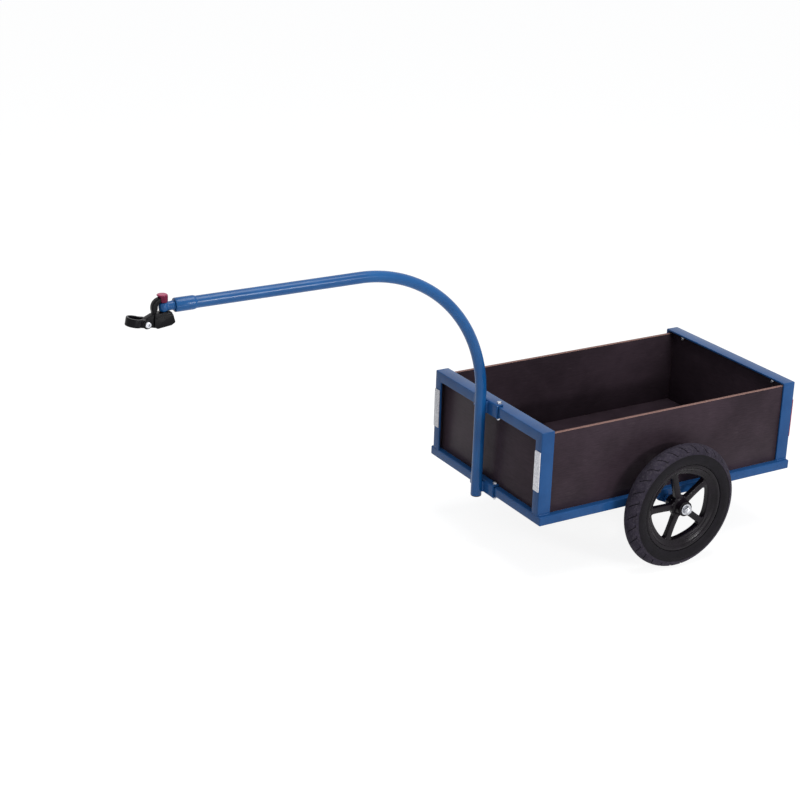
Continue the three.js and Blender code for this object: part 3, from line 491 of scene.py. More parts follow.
def rubber(name, centre):
    """Paler dust lies on the tread, which starts where the distance from the axle passes 138 mm. The wall
    has fine mould rings, and the cuts are painted dark, as shade in them."""
    finish = Finish(name)
    about = finish.stretched((1.0, 0.0, 1.0), tuple(centre * MM))
    radius = finish.node("ShaderNodeVectorMath", {"operation": "LENGTH"}, {0: about}, output="Value")
    tread = radius.ramp(0.1378, 0.1388)
    groove = finish.attribute("groove")
    cloud = finish.noise(45.0, 4.0, 0.6).ramp(0.3, 0.7)
    dust = finish.noise(220.0, 4.0, 0.65).ramp(0.45, 0.7)
    wall = finish.blend(cloud, tone(16, 14, 18), tone(23, 20, 26))
    top = finish.blend(cloud, tone(41, 37, 47), tone(54, 49, 61))
    colour = finish.blend(tread, wall, top)
    colour = finish.blend(dust * 0.22 * tread, colour, tone(104, 98, 102))
    # The cuts are painted darker, as the shade that falls in them.
    colour = finish.blend(groove * 0.75, colour, tone(14, 12, 15))
    rings = (radius * 4200.0).sine() * (1 - tread)
    height = rings * 0.25 + finish.noise(1100.0, 3.0) * 0.5
    gloss = tread.ramp(0.0, 1.0, 0.52, 0.74)
    bump = finish.bump(height, 0.00012)
    return finish.shade(Base_Color=colour, Roughness=gloss, Normal=bump, Metallic=0.0,
                        Specular_IOR_Level=0.1)


def moulded(name, deep, light, rough, mirror, grain=0.00006, sheen_tone=None):
    """Two tones drift over a few centimetres, and points whose top_sheen number is 1 take a lighter tone:
    a painted sheen.
    """
    finish = Finish(name)
    cloud = finish.noise(30.0, 4.0, 0.6).ramp(0.3, 0.7)
    pits = finish.noise(1400.0, 2.0)
    colour = finish.blend(cloud, deep, light)
    if sheen_tone:
        colour = finish.blend(finish.attribute("top_sheen"), colour, sheen_tone)
    gloss = finish.noise(90.0, 3.0).ramp(0.3, 0.7, rough - 0.04, rough + 0.08)
    return finish.shade(Base_Color=colour, Roughness=gloss, Normal=finish.bump(pits, grain), Metallic=0.0,
                        Specular_IOR_Level=mirror)


TYRE = {side: rubber("tyre rubber " + side, centre) for side, centre in WHEEL_CENTRE.items()}
NYLON = moulded("black nylon", tone(16, 12, 17), tone(27, 21, 29), 0.24, 0.16)
BLACK_PLASTIC = moulded("black cap plastic", tone(12, 11, 14), tone(20, 18, 22), 0.42, 0.08)
TUBE_RUBBER = moulded("inner tube rubber", tone(20, 20, 22), tone(32, 31, 34), 0.6, 0.3)
# The knob's top takes a lighter pink, a painted sheen.
RED = moulded("red plastic", tone(92, 6, 42), tone(118, 10, 58), 0.22, 0.2, sheen_tone=tone(176, 66, 102))


def reflector_resin(name, deep, light, coat=0.6, mirror=0.5):
    """Corner prisms behind clear resin: small cells, each painted a little lighter or darker as a glint,
    ridged where they meet."""
    finish = Finish(name)
    cells = {"Vector": finish.stretched((1.0, 1.0, 1.15)), "Scale": 420.0}
    pick = finish.node("ShaderNodeTexVoronoi", inputs=cells, output="Color")
    edge = finish.node("ShaderNodeTexVoronoi", {"feature": "DISTANCE_TO_EDGE"}, cells)
    # Each cell's random value is a painted glint that lightens or darkens its colour.
    glint = finish.node("ShaderNodeSeparateColor", inputs={0: pick}, output=0)
    colour = finish.blend(glint, deep, light)
    colour = finish.blend(edge.ramp(0.0, 0.12, 0.35, 0.0), colour, deep)
    gloss = glint.ramp(0.0, 1.0, 0.18, 0.34)
    return finish.shade(Base_Color=colour, Roughness=gloss, Normal=finish.bump(edge, 0.0002, 0.5),
                        Metallic=0.0, Coat_Weight=coat, Coat_Roughness=0.05, Specular_IOR_Level=mirror)


# The two clear reflectors are one resin: the left copy's lighter tones are painted light, the right copy's
# darker tones painted shade.
LENS = {"left": reflector_resin("clear reflector left, painted lighter", tone(216, 216, 226), tone(250, 250, 255)),
        "right": reflector_resin("clear reflector right, painted shaded", tone(178, 178, 184), tone(222, 222, 228)),
        "rear": reflector_resin("red reflector", tone(132, 6, 14), tone(204, 16, 26), 0.1, 0.15)}
print("materials:", len(bpy.data.materials))

# %% [markdown]
# ## Angle posts and rails
# The corners of the box are rolled angle steel. Post and rail meet at a mitre that is welded and ground
# flush, so the joint itself is hidden and only the rounded outer edge shows. Each bar is its section
# carried along a line, and a few extra rings at the mitre take the outer face round that edge.


# %% Mitred bars
def angle_section(first, second, first_sign, second_sign, corner):
    """A rolled angle: its heel at corner, with legs of two lengths along two signed axes."""
    points = [(0, 0), (first, 0), (first, WALL), (WALL, WALL), (WALL, second), (0, second)]
    outline = filleted(points, [2.0, 0.8, 1.6, 1.0, 1.6, 0.8], 5)
    return outline * (first_sign, second_sign) + np.array(corner, float)


def mitre_rings(section, depth, inward, end, sign, radius=2.5, steps=6):
    """Rings that end a bar at a mitre. A point that lies depth under the outer face ends depth short of
    the bar's end. Where the outer face goes round the corner it drops by r - sqrt(r^2 - s^2), s being the
    way past the start of the curve, and the drop fades out at a depth of r."""
    reach = radius / np.sqrt(2)
    way = np.linspace(0, reach, steps)
    drop = radius - np.sqrt(radius**2 - way**2)
    under = depth + drop[-1] * np.clip(1 - depth / radius, 0, 1)
    first = np.maximum(radius, depth + reach / 2)
    share = (way / reach)[:, None]
    back = first + (under - first) * share
    fade = np.clip(1 - depth / radius, 0, 1)
    shifted = section[None] + drop[:, None, None] * fade[None, :, None] * np.array(inward, float)
    along = sign * (end - back)
    return np.concatenate([shifted, along[..., None]], -1)


def mitred(section, depth, inward, half):
    """The rings of a bar that is mitred at both ends, half before and half after its middle."""
    first, last = (mitre_rings(section, depth, inward, half, sign) for sign in (-1, 1))
    return np.concatenate([first[::-1], last])


def corner_post(end, side):
    """An upright angle from the base rail to the mitre under the top rail's end."""
    (face, inward), hand = FACE[end], HAND[side]
    section = angle_section(SIDE_LEG, END_LEG, inward, -hand, (face, hand * SIDE))
    depth = SIDE - np.abs(section[:, 1])
    top = mitre_rings(section, depth, (0, -hand), TOP, 1)
    return shell(np.concatenate([at_height(section, BASE_TOP)[None], top]))


def top_rail(end):
    """A level angle along Y, mitred at both ends. Its rings are made as (x, z, y) and then put in
    order."""
    face, inward = FACE[end]
    section = angle_section(SIDE_LEG, END_LEG, inward, -1, (face, TOP))
    return shell(mitred(section, TOP - section[:, 1], (0, -1), SIDE)[..., [0, 2, 1]])


def base_section(middle):
    """The base rail's rounded section, centred on a place across the rail."""
    height = BASE_TOP - BASE_FOOT
    return rectangle(BASE_WIDTH, height, 3.0, (middle, BASE_FOOT + height / 2), 6)


def base_end_rail(end):
    """A level tube along Y under the end of the box, mitred to the side rails: rings are made as (x, z,
    y)."""
    face, inward = FACE[end]
    section = base_section(face + inward * BASE_WIDTH / 2)
    return shell(mitred(section, np.abs(section[:, 0] - face), (inward, 0), BASE_SIDE)[..., [0, 2, 1]])


def base_side_rail(side):
    """A level tube along X under the side of the box: rings are made as (y, z, x)."""
    hand = HAND[side]
    section = base_section(hand * (BASE_SIDE - BASE_WIDTH / 2))
    depth = BASE_SIDE - np.abs(section[:, 0])
    middle = (FRONT + REAR) / 2
    rings = mitred(section, depth, (-hand, 0), FRONT - middle)[..., [2, 0, 1]]
    return shell(rings + (middle, 0, 0))


# %% Frame of the box
def blue_steel(node, skins):
    """A painted steel piece of the chassis that stands for one CAD node."""
    piece(node + "_steel", skins, BLUE, "chassis", [node])


for end in FACE:
    blue_steel(f"top_rail_{end}", top_rail(end))
    blue_steel(f"base_rail_{end}", base_end_rail(end))
    for side in HAND:
        blue_steel(f"post_{end}_{side}", corner_post(end, side))
for side in HAND:
    blue_steel(f"base_rail_{side}", base_side_rail(side))
print("frame pieces:", len(MADE))

# %% [markdown]
# ## Weld beads
# Where an upright stands on the base, the weld is left as laid: a small rippled bead under the paint. The
# saddles have a bead on each side of the arm, and each axle bracket one along the rail.

# %% Welds on the frame
welds = []
for face, inward in FACE.values():
    for hand in HAND.values():
        side_y, z = hand * (SIDE + 0.6), BASE_TOP + 0.4
        welds.append(bead((face + inward * 2, side_y, z), (face + inward * 34, side_y, z), 2.4))
        leg_x = face + inward * (SIDE_LEG + 0.5)
        welds.append(bead((leg_x, hand * (SIDE - 0.5), z), (leg_x, hand * (SIDE - 4.5), z), 1.8))
        end_x, end_z = face + inward * 0.6, z - 0.2
        welds.append(bead((end_x, hand * (SIDE - 3), end_z), (end_x, hand * (SIDE - 24), end_z), 1.3))
piece("frame_welds", welds, BLUE, "chassis", sharp=60)
print("weld beads:", len(welds))

# %% [markdown]
# ## Plywood panels
# Each panel is a board with its arrises just broken. It is a prism through its thickness, and the numbers
# edge and depth are worked out from how far each ring is drawn in.


# %% Panels
def board(node, axis, lift=0.0):
    """A board across one axis: a rounded rectangle of its face, lifted through its thickness. Its upper
    edge may be moved a little, because the side boards of the real one aren't set level."""
    low, high = corners(node)
    high = high + (0, 0, lift)
    flat = [k for k in range(3) if k != axis]
    size, middle = (high - low)[flat], ((high + low) / 2)[flat]
    outline = rectangle(size[0], size[1], 0.8, middle, 4)
    under, over, arris = low[axis], high[axis], 0.5
    part = arris * 0.3
    levels = [(arris, under), (part, under + part), (0, under + arris), (0, (under + over) / 2),
              (0, over - arris), (part, over - part), (arris, over)]
    skin = prism(outline, levels)
    edge = np.repeat([0.0, 1.0, 1.0, 1.0, 1.0, 1.0, 0.0], len(outline))
    depth = np.repeat([level[1] - under for level in levels], len(outline))
    if axis == 0:
        skin = skin[0][:, [2, 0, 1]], skin[1]
    if axis == 1:
        skin = upright(skin)
    return skin, {"edge": edge, "depth": depth}


for node, axis, lift in (("panel_floor", 2, 0.0), ("panel_left", 1, 1.2), ("panel_right", 1, -2.0),
                         ("panel_front", 0, 0.0), ("panel_rear", 0, 0.0)):
    skin, numbers = board(node, axis, lift)
    piece(node + "_board", skin, PLY, "chassis", [node], values=numbers)
print("pieces so far:", len(MADE))

# %% [markdown]
# ## Button-head screws and reflectors
# Button-head screws hold the end panels. The head is a low dome with a hexagon socket, made as rings that
# are round outside and six-sided in the socket. The reflectors are thin resin plates stuck on the corner
# posts.


# %% Button heads
def hexagon(flats, sides=72):
    """Points of a hexagon at even angles: radius = half the flats / cos(angle from the nearest flat's
    middle)."""
    angle = TURN * np.arange(sides) / sides
    off = (angle + np.pi / 6) % (np.pi / 3) - np.pi / 6
    radius = flats / 2 / np.cos(off)
    return np.stack([radius * np.cos(angle), radius * np.sin(angle)], -1)


HEAD_RADIUS, HEAD_HEIGHT = 5.25, 3.3
SHANK_RADIUS, SHANK_LENGTH = 3.0, 16.0


def button_screw():
    """Rings from the shank's end over the dome, radius = R (0.45 + 0.55 cos a), and down into the
    socket."""
    dome = np.linspace(0, np.pi / 2, 6)
    rows = [(SHANK_RADIUS - 0.6, -SHANK_LENGTH), (SHANK_RADIUS, -SHANK_LENGTH + 0.6), (SHANK_RADIUS, 0.0),
            (HEAD_RADIUS, 0.0)]
    rows += zip(HEAD_RADIUS * (0.45 + 0.55 * np.cos(dome)), 0.35 + (HEAD_HEIGHT - 0.35) * np.sin(dome))
    rings = [at_height(circle(radius, 72), height) for radius, height in rows]
    socket = [at_height(hexagon(3.4), HEAD_HEIGHT - 0.2), at_height(hexagon(3.0), HEAD_HEIGHT - 2.0)]
    return shell(rings + socket)


for end, (face, inward) in FACE.items():
    for side in HAND:
        node = f"screw_{end}_{side}"
        low, high = corners(node)
        head = low[0] if inward < 0 else high[0]
        origin = (head - inward * HEAD_HEIGHT, (low[1] + high[1]) / 2, (low[2] + high[2]) / 2)
        skin = moved(button_screw(), SIDEWAYS, (inward, 0, 0), origin)
        piece(node + "_zinc", skin, ZINC, "chassis", [node])
        node = f"reflector_{end}_{side}"
        low, high = corners(node)
        outline = rectangle(high[1] - low[1], high[2] - low[2], 1.8, ((low + high) / 2)[1:], 5)
        points, faces = slab(outline, low[0], high[0], 0.6)
        lens, slot = (LENS["rear"], "red_reflector") if end == "rear" else (LENS[side], "white_reflector")
        piece(node + "_resin", (points[:, [2, 0, 1]], faces), lens, "chassis", [node])
print("pieces so far:", len(MADE))

# %% [markdown]
# ## Tyres
# A 12 1/2 inch street tyre: a round section with a defined shoulder, a plain wall, and short slanting cuts
# in the tread, staggered from one shoulder to the other. The cuts are real grooves in the mesh. The
# columns of points follow the slant, so a cut's edges stay crisp with few faces.

# %% Tyre surface
CUTS = 30
CUT_DEPTH = 2.0
SLANT = 0.13
TREAD_HALF, TREAD_RISE, TREAD_CENTRE = 24.6, 26.4, 131.6
SHOULDER = 74
PHASES = [0, .12, .17, .205, .225, .275, .295, .33, .5, .62, .67, .705, .725, .775, .795, .83]
WALL_LINE = [(24.3, 138.5), (23.9, 137.6), (23.4, 137.0), (23.7, 135.6), (24.4, 131.5), (24.3, 127.0),
             (23.6, 121.5), (22.4, 116.5), (21.3, 113.4), (20.5, 112.2), (18.6, 111.7), (17.0, 111.2),
             (16.6, 109.0), (16.5, 106.0), (15.4, 105.2), (11.5, 105.3), (11.3, 108.5), (14.6, 113.5),
             (18.6, 121.5), (19.6, 131.0), (18.4, 139.5), (13.5, 148.5), (7.0, 152.8)]


def smooth(value, low, high):
    """0 below low, 1 above high, and 3 t^2 - 2 t^3 between them."""
    share = np.clip((value - low) / (high - low), 0, 1)
    return share * share * (3 - 2 * share)


def tyre_skin(hand):
    """The tread is part of an ellipse, for a from -74 to 74 degrees: width = TREAD_HALF sin a and radius =
    TREAD_CENTRE + TREAD_RISE cos a. A crisp shoulder ends it, and the wall is drawn through set points
    down to the bead and back along the inside. Every column of points slants by an angle in step with its
    distance from the middle, and comes back along the wall. The cuts follow the columns and lower the
    tread by 2 mm along its normal."""
    angle = np.radians(np.linspace(-SHOULDER, SHOULDER, 61))
    crown = np.stack([TREAD_HALF * np.sin(angle), TREAD_CENTRE + TREAD_RISE * np.cos(angle)], -1)
    wall = np.array(WALL_LINE)
    line = np.concatenate([crown, wall, [(0.0, 153.4)], wall[::-1] * (-1, 1)])
    on_tread = np.arange(len(line)) < len(crown)
    degrees = np.where(on_tread, np.degrees(np.pad(angle, (0, len(line) - len(angle)))), 0.0)
    column = ((np.arange(CUTS)[:, None] + PHASES) / CUTS).ravel()
    phase = np.tile(PHASES, CUTS)

    def across(low, high):
        """1 between two angles on the tread, fading over 4 degrees inside each."""
        return smooth(degrees, low, low + 4) * (1 - smooth(degrees, high - 4, high)) * on_tread

    def band(low, high):
        """1 for the columns between two phases of the pattern."""
        return ((phase > low) & (phase < high)).astype(float)

    groove = across(6, 62)[:, None] * band(0.22, 0.28) + across(-62, -6)[:, None] * band(0.72, 0.78)
    groove += across(54, 62)[:, None] * band(0.11, 0.28) + across(-62, -54)[:, None] * band(0.61, 0.78)
    cut = np.clip(groove, 0, 1) * CUT_DEPTH
    out = outward(line)
    slant = SLANT * np.minimum(np.abs(line[:, 0]) / 22.0, 1) * smooth(line[:, 1], 114, 138)
    turn = TURN * column[None] - hand * slant[:, None]
    wide = line[:, :1] - cut * out[:, :1]
    radius = line[:, 1:] - cut * out[:, 1:]
    rings = np.stack([radius * np.cos(turn), radius * np.sin(turn), wide], -1)
    return shell(rings, joined=True), {"groove": cut / CUT_DEPTH}


def on_wheel(skin, side):
    """A skin made about Z, moved to a wheel's centre with its Z pointing out of that side of the
    trailer."""
    return moved(skin, FORWARD, OUTWARDS[side], WHEEL_CENTRE[side])


for side, hand in HAND.items():
    skin, numbers = tyre_skin(hand)
    skin = on_wheel(skin, side)
    name = "tyre_" + side
    piece(name + "_rubber", skin, TYRE[side], "wheel_" + side, [name], 40, numbers)
print("tyre faces:", MADE[-1][1])

# %% [markdown]
# ## Wheels
# The wheel is one nylon moulding. Its rim has a rolled lip, a stepped dish and a flat ring round the
# windows. Five spokes run to the hub, each flared where it joins the ring so that the windows have round
# corners. Spokes are a rounded section carried along the spoke's length while its width follows the flare.

# %% Rim, spokes and hub
SPOKES = 5
SPOKE_START = np.radians(2)
SPOKE_WIDTH, SPOKE_HALF_DEPTH = 16.0, 8.0
RING_INNER, RING_WAVE = 85.5, 2.0


def mirrored_profile(half):
    """A profile and its mirror image at negative heights, in one closed line."""
    half = np.array(half)
    return np.concatenate([half, half[::-1] * (1, -1)])


def rim_profile():
    """Half of the rim's section from the tyre's bead over the lip and down the steps, then mirrored."""
    half = [(98.0, 3.0), (103.8, 7.4), (104.7, 8.8), (104.7, 15.6), (106.0, 16.4), (109.6, 16.5),
            (110.7, 17.2), (111.2, 18.4), (110.7, 19.5), (109.4, 20.0), (105.4, 20.0), (103.6, 19.6),
            (102.6, 18.7), (101.4, 16.4), (100.4, 15.6), (95.4, 13.6), (94.2, 13.0), (93.2, 11.4),
            (92.2, 10.8), (89.2, 9.9), (87.5, 9.3), (86.3, 8.2), (85.7, 6.6), (RING_INNER, 4.6)]
    return mirrored_profile(half)


def rim_skin(hand):
    """The turned section, with the ring's inner edge let out by RING_WAVE at the spokes and drawn in as
    far between them, because the windows' outer edges are nearly straight on the real one."""
    points, faces = turned(rim_profile(), 144, True)
    angle, radius = np.arctan2(points[:, 1], points[:, 0]), np.hypot(points[:, 0], points[:, 1])
    near = 1 - smooth(radius, RING_INNER, 94.0)
    scale = 1 + RING_WAVE * near * np.cos(SPOKES * (angle + hand * SPOKE_START)) / radius
    return points * np.stack([scale, scale, np.ones_like(scale)], -1), faces


def spoke(angle):
    """Width is 16 mm, plus on each side a flare of f - sqrt(f^2 - (f - d)^2) at distance d from the ring or
    the hub."""
    reach = np.concatenate([np.linspace(16, 34, 10), np.linspace(38, 74, 9), np.linspace(77, 90.5, 11)])
    flare_out, flare_in = 7.0, 6.0
    near_ring = np.clip(flare_out - (RING_INNER + RING_WAVE - reach), 0, flare_out)
    near_hub = np.clip(flare_in - (reach - 23.0), 0, flare_in)
    flare = flare_out - np.sqrt(flare_out**2 - near_ring**2) + flare_in - np.sqrt(flare_in**2 - near_hub**2)
    width = SPOKE_WIDTH + 2 * flare
    unit = rectangle(2, 2, 0.36, steps=5)
    deep = SPOKE_HALF_DEPTH - 0.9 * smooth(reach, 30, 50) * (1 - smooth(reach, 65, 83))
    sections = unit[None] * np.stack([width / 2, deep], -1)[:, None]
    path = np.stack([reach, np.zeros_like(reach), np.zeros_like(reach)], -1)
    points, faces = carried(sections, path, SIDEWAYS)
    cos, sin = np.cos(angle), np.sin(angle)
    turn = np.array([[cos, sin, 0], [-sin, cos, 0], [0, 0, 1]])
    return points @ turn, faces


def hub_profile():
    """A barrel that swells at the spokes, its ends dished round the bearing."""
    half = [(10.2, 19.0), (14.2, 19.1), (14.3, 27.0), (14.8, 27.5), (17.2, 27.5), (18.3, 27.1), (18.8, 26.2),
            (19.0, 20.0), (19.6, 14.0), (21.0, 10.6), (22.8, 8.6), (23.6, 7.2), (23.9, 5.0)]
    return mirrored_profile(half)


for side, hand in HAND.items():
    skins = [rim_skin(hand), turned(hub_profile(), 64, True)]
    skins += [spoke(hand * -(SPOKE_START + TURN * k / SPOKES)) for k in range(SPOKES)]
    skins = [on_wheel(skin, side) for skin in skins]
    name = "rim_" + side
    piece(name + "_nylon", skins, NYLON, "wheel_" + side, [name], 38)
print("wheel faces:", MADE[-1][1])

# %% [markdown]
# ## Inner tubes and valves
# The tube itself is hidden in the tyre, and only its valve shows: a rubber-covered stem through the rim,
# with a small ribbed cap. The hidden hoop is still made, so that the piece is whole.


# %% Inner tube with its valve
def valve():
    """Stem, collar and cap turned about the valve's own axis, from the rim inwards. The cap's twelve ribs
    are waves of 5% of its radius."""
    stem = turned([(4.0, -26), (4.0, -2), (4.6, -1.5), (4.6, 0.5), (4.0, 1.2), (3.9, 8.0), (3.1, 9.0),
                   (2.6, 13.5)], 24)
    height = np.array([9.8, 10.3, 18.5, 19.4, 19.9])
    radius = np.array([3.4, 3.9, 3.7, 3.2, 2.2])
    angle = TURN * np.arange(60) / 60
    ripple = 1 + 0.05 * np.cos(12 * angle) * np.array([0.4, 1, 1, 0.5, 0])[:, None]
    out = radius[:, None] * ripple
    height = np.broadcast_to(height[:, None], out.shape)
    return [stem, shell(np.stack([out * np.cos(angle), out * np.sin(angle), height], -1))]


VALVE_ANGLE = np.radians(38)
VALVE_SEAT = 96.5
HOOP_RADIUS, HOOP_DEEP, HOOP_WIDE = 130.5, 36, 34
aim = np.array([np.cos(VALVE_ANGLE), 0, np.sin(VALVE_ANGLE)])
for side in HAND:
    section = rectangle(HOOP_DEEP, HOOP_WIDE, 14, (HOOP_RADIUS, 0), 6)
    skins = [on_wheel(turned(section, 72, True), side)]
    skins += [moved(skin, SIDEWAYS, -aim, WHEEL_CENTRE[side] + aim * VALVE_SEAT) for skin in valve()]
    name = "inner_tube_" + side
    piece(name + "_rubber", skins, TUBE_RUBBER, "wheel_" + side, [name])
print("pieces so far:", len(MADE))

# %% [markdown]
# ## Axle, brackets and nuts
# The axle is a plain bar under the box. A plate welded below each side rail holds it, and outside the
# wheel come a washer and a domed nut. A nut is a hexagon whose corners are cut by a cone, which gives the
# curved shoulders.


# %% Nuts, bolts and axle
CONE, CONE_START = 1.7, 0.15


def hex_body(flats, low, high, cut_low=True, cut_high=True, sides=96, levels=7):
    """A hexagon whose corners are cut by a cone at either end: the radius is the smaller of the hexagon's
    and half the flats - CONE_START + CONE * (distance from the end)."""
    rise = (flats / np.sqrt(3) - flats / 2) / CONE
    near = np.linspace(0, rise, levels)
    height = np.concatenate([low + near, high - near[::-1]])
    shape = hexagon(flats, sides)
    radius = np.linalg.norm(shape, axis=1)
    limit = np.full(len(height), np.inf)
    if cut_low:
        limit[:levels] = flats / 2 - CONE_START + near * CONE
    if cut_high:
        limit[levels:] = flats / 2 - CONE_START + near[::-1] * CONE
    scale = np.minimum(1, limit[:, None] / radius)
    return shell([at_height(shape * ring[:, None], h) for ring, h in zip(scale, height)])


def threaded(radius, low, high, pitch=1.25):
    """A thread as rings whose radius changes by 0.55 mm every half pitch, with chamfered ends."""
    count = max(int((high - low) / pitch * 2), 4)
    radii = np.where(np.arange(count) % 2, radius, radius - 0.55)
    radii[[0, -1]] = radius - 1.0
    return turned(np.stack([radii, np.linspace(low, high, count)], -1), 32)


def domed_nut(flats, seat, hexagon_height, dome_radius, dome_height):
    """A hexagon with a smooth cap: radius = R cos a, height = H sin a."""
    angle = np.linspace(0, np.pi / 2 - 0.06, 10)
    top = seat + hexagon_height
    cap = np.stack([dome_radius * np.cos(angle), top + dome_height * np.sin(angle)], -1)
    lower = [(dome_radius + 0.5, top - 1.5), (dome_radius + 0.5, top - 0.2)]
    return [hex_body(flats, seat, top), turned(np.concatenate([lower, cap]), 48)]


reach = corners("axle")[1][1]
axle_bar = turned([(5.2, -reach), (6.0, -reach + 0.8), (6.0, reach - 0.8), (5.2, reach)], 40)
piece("axle_steel", moved(axle_bar, FORWARD, SIDEWAYS, AXLE), STEEL, "chassis", ["axle"])

BRACKET_THICK, BRACKET_HALF, BRACKET_FOOT = 5.0, 28, 12.0
shoulder, waist = AXLE[2] + 2, AXLE[2] - 0.6
arc = np.linspace(np.pi * 1.25, np.pi * 1.75, 12)
foot = np.stack([BRACKET_FOOT * np.cos(arc), AXLE[2] + BRACKET_FOOT * np.sin(arc)], -1)
BRACKET = np.concatenate([[(BRACKET_HALF, BASE_FOOT), (-BRACKET_HALF, BASE_FOOT), (-BRACKET_HALF, shoulder),
                           (1.5 - BRACKET_HALF, waist)], foot,
                          [(BRACKET_HALF - 1.5, waist), (BRACKET_HALF, shoulder)]])[::-1]


def from_middle(node):
    """How far a node's near and far faces lie from the trailer's middle plane."""
    return sorted(abs(corner[1]) for corner in corners(node))


for side, hand in HAND.items():
    name = "axle_bracket_" + side
    plate_out = hand * (BASE_SIDE + 0.3)
    plate_in = plate_out - hand * BRACKET_THICK
    plate = upright(slab(BRACKET, *sorted([plate_in, plate_out]), 0.7), (AXLE[0], 0, 0))
    reach_out = from_middle(name)[1] - abs(plate_out)
    boss = turned([(9.4, 0), (10.0, 0.6), (10.0, reach_out - 0.6), (9.4, reach_out)], 40)
    boss = moved(boss, FORWARD, OUTWARDS[side], (AXLE[0], plate_out, AXLE[2]))
    weld_y, weld_z = plate_in - hand * 0.5, BASE_FOOT - 0.8
    weld = bead((AXLE[0] - 26, weld_y, weld_z), (AXLE[0] + 26, weld_y, weld_z), 2.2)
    blue_steel(name, [plate, boss, weld])
    near, far = from_middle("axle_washer_" + side)
    seat = from_middle("axle_nut_" + side)[0]
    for name, skins in (("axle_washer_" + side, [washer(6.3, 13.8, near, far, 0.5)]),
                        ("axle_nut_" + side, domed_nut(19, seat, 8.0, 8.4, 5.0))):
        skins = [moved(skin, FORWARD, OUTWARDS[side], (AXLE[0], 0, AXLE[2])) for skin in skins]
        piece(name + "_zinc", skins, ZINC, "chassis", [name])
print("pieces so far:", len(MADE))

# %% [markdown]
# ## The towing arm
# One tube, bent once. Its line rises from the parking foot, turns through a quarter circle and runs level.
# A round section is carried along it with points packed evenly by length.

# %% Arm tube and its cap
BEND = 338.0
ARM_FOOT = ARM_LOW[2]
ARM_END = ARM_HIGH[0]


def arm_line(count=200):
    """Points along the arm: up to the bend, round a quarter of a circle, and level to the end."""
    rise = ARM_Z - BEND - ARM_FOOT
    turn = BEND * np.pi / 2
    run = ARM_END - ARM_X - BEND
    way = np.concatenate([np.linspace(0, rise, 30, endpoint=False),
                          rise + np.linspace(0, turn, count, endpoint=False),
                          rise + turn + np.linspace(0, run, 40)])
    angle = np.clip((way - rise) / BEND, 0, np.pi / 2)
    x = ARM_X + BEND * (1 - np.cos(angle)) + np.clip(way - rise - turn, 0, None)
    z = ARM_FOOT + np.minimum(way, rise) + BEND * np.sin(angle)
    return np.stack([x, np.zeros_like(x), z], -1)


tube = carried(circle(ARM_RADIUS, 48), arm_line(), SIDEWAYS)
piece("arm_tube_steel", tube, ARM_BLUE, "chassis", ["arm_tube"])
cap_low = corners("arm_cap")[0][2]
cap = [(10.5, cap_low), (12.0, cap_low + 0.25), (12.8, cap_low + 0.9), (13.2, cap_low + 1.8),
       (13.2, ARM_FOOT + 0.2), (12.6, ARM_FOOT + 0.8), (10.0, ARM_FOOT + 0.8)]
cap = moved(turned(cap, 48), origin=(ARM_X, 0, 0))
piece("arm_cap_plastic", cap, BLACK_PLASTIC, "chassis", ["arm_cap"])
print("arm line:", len(arm_line()), "points")

# %% [markdown]
# ## Saddles
# Two folded plates hold the arm. Each wraps a rail above, in front and below, the arm is welded to its
# face, and a bolt at each end clamps it. The plate is an open channel outline with rounded folds, carried
# across its width.


# %% Saddles and their bolts
SADDLE_THICK, SADDLE_GAP, SADDLE_LAP, SADDLE_HALF = 4.8, 0.3, 13.5, 50.0


def saddle(low, high):
    """The channel's outline in X and Z, from the open end of the upper leg round to that of the lower
    one."""
    thick, back, web = SADDLE_THICK, FRONT - SADDLE_LAP, FRONT + SADDLE_GAP + SADDLE_THICK
    top, bottom = high + SADDLE_GAP + thick, low - SADDLE_GAP - thick
    points = [(back, top), (web, top), (web, bottom), (back, bottom), (back, bottom + thick),
              (web - thick, bottom + thick), (web - thick, top - thick), (back, top - thick)]
    outline = filleted(points, [0.7, 5.0, 5.0, 0.7, 0.7, 1.2, 1.2, 0.7], 7)
    return upright(slab(outline, -SADDLE_HALF, SADDLE_HALF, 0.7))


def saddle_bolt(top, bottom):
    """Head, nut, shank and thread of a bolt through both legs, with a washer under the head and the
    nut."""
    return [hex_body(10, top, top + 4.0, cut_low=False), hex_body(10, bottom - 5.0, bottom),
            turned([(3.0, bottom - 5.5), (3.0, top + 1.0)], 24),
            threaded(3.0, bottom - 8.0, bottom - 4.6, 1.0),
            washer(2.9, 6.0, top - 0.5, top + 0.35, 0.2),
            washer(2.9, 6.0, bottom - 0.35, bottom + 0.5, 0.2)]


LEVELS = {"upper": (TOP - END_LEG, TOP), "lower": (BASE_FOOT, BASE_TOP)}
for level, (low, high) in LEVELS.items():
    weld_x = FRONT + SADDLE_GAP + SADDLE_THICK + 1.6
    beads = [bead((weld_x, y, low - 2.5), (weld_x, y, high + 2.5), 3.1, 2.4, FORWARD) for y in (9.2, -9.2)]
    blue_steel("arm_saddle_" + level, [saddle(low, high), *beads])
    for side, hand in HAND.items():
        skins = saddle_bolt(high + 2 * SADDLE_GAP + SADDLE_THICK, low - 2 * SADDLE_GAP - SADDLE_THICK)
        skins = [moved(skin, origin=(FRONT - 8.5, hand * 40.0, 0)) for skin in skins]
        name = f"arm_bolt_{level}_{side}"
        piece(name + "_zinc", skins, ZINC, "chassis", [name])
print("pieces so far:", len(MADE))

# %% [markdown]
# ## Swivel and coupling eye
# A sleeve closes the arm's end and lets the eye turn in it, so that the coupling can lean to either side.
# The sleeve is a turned profile with a taper at the back. The eye is a forged tongue: its round shoulder
# narrows to a neck that ends in a rounded barrel.


# %% Sleeve and eye
def along_arm(skin, x):
    """A skin made about Z, laid along the arm's level line with its Z forward, starting at x."""
    return moved(skin, SIDEWAYS, FORWARD, (x, 0, ARM_Z))


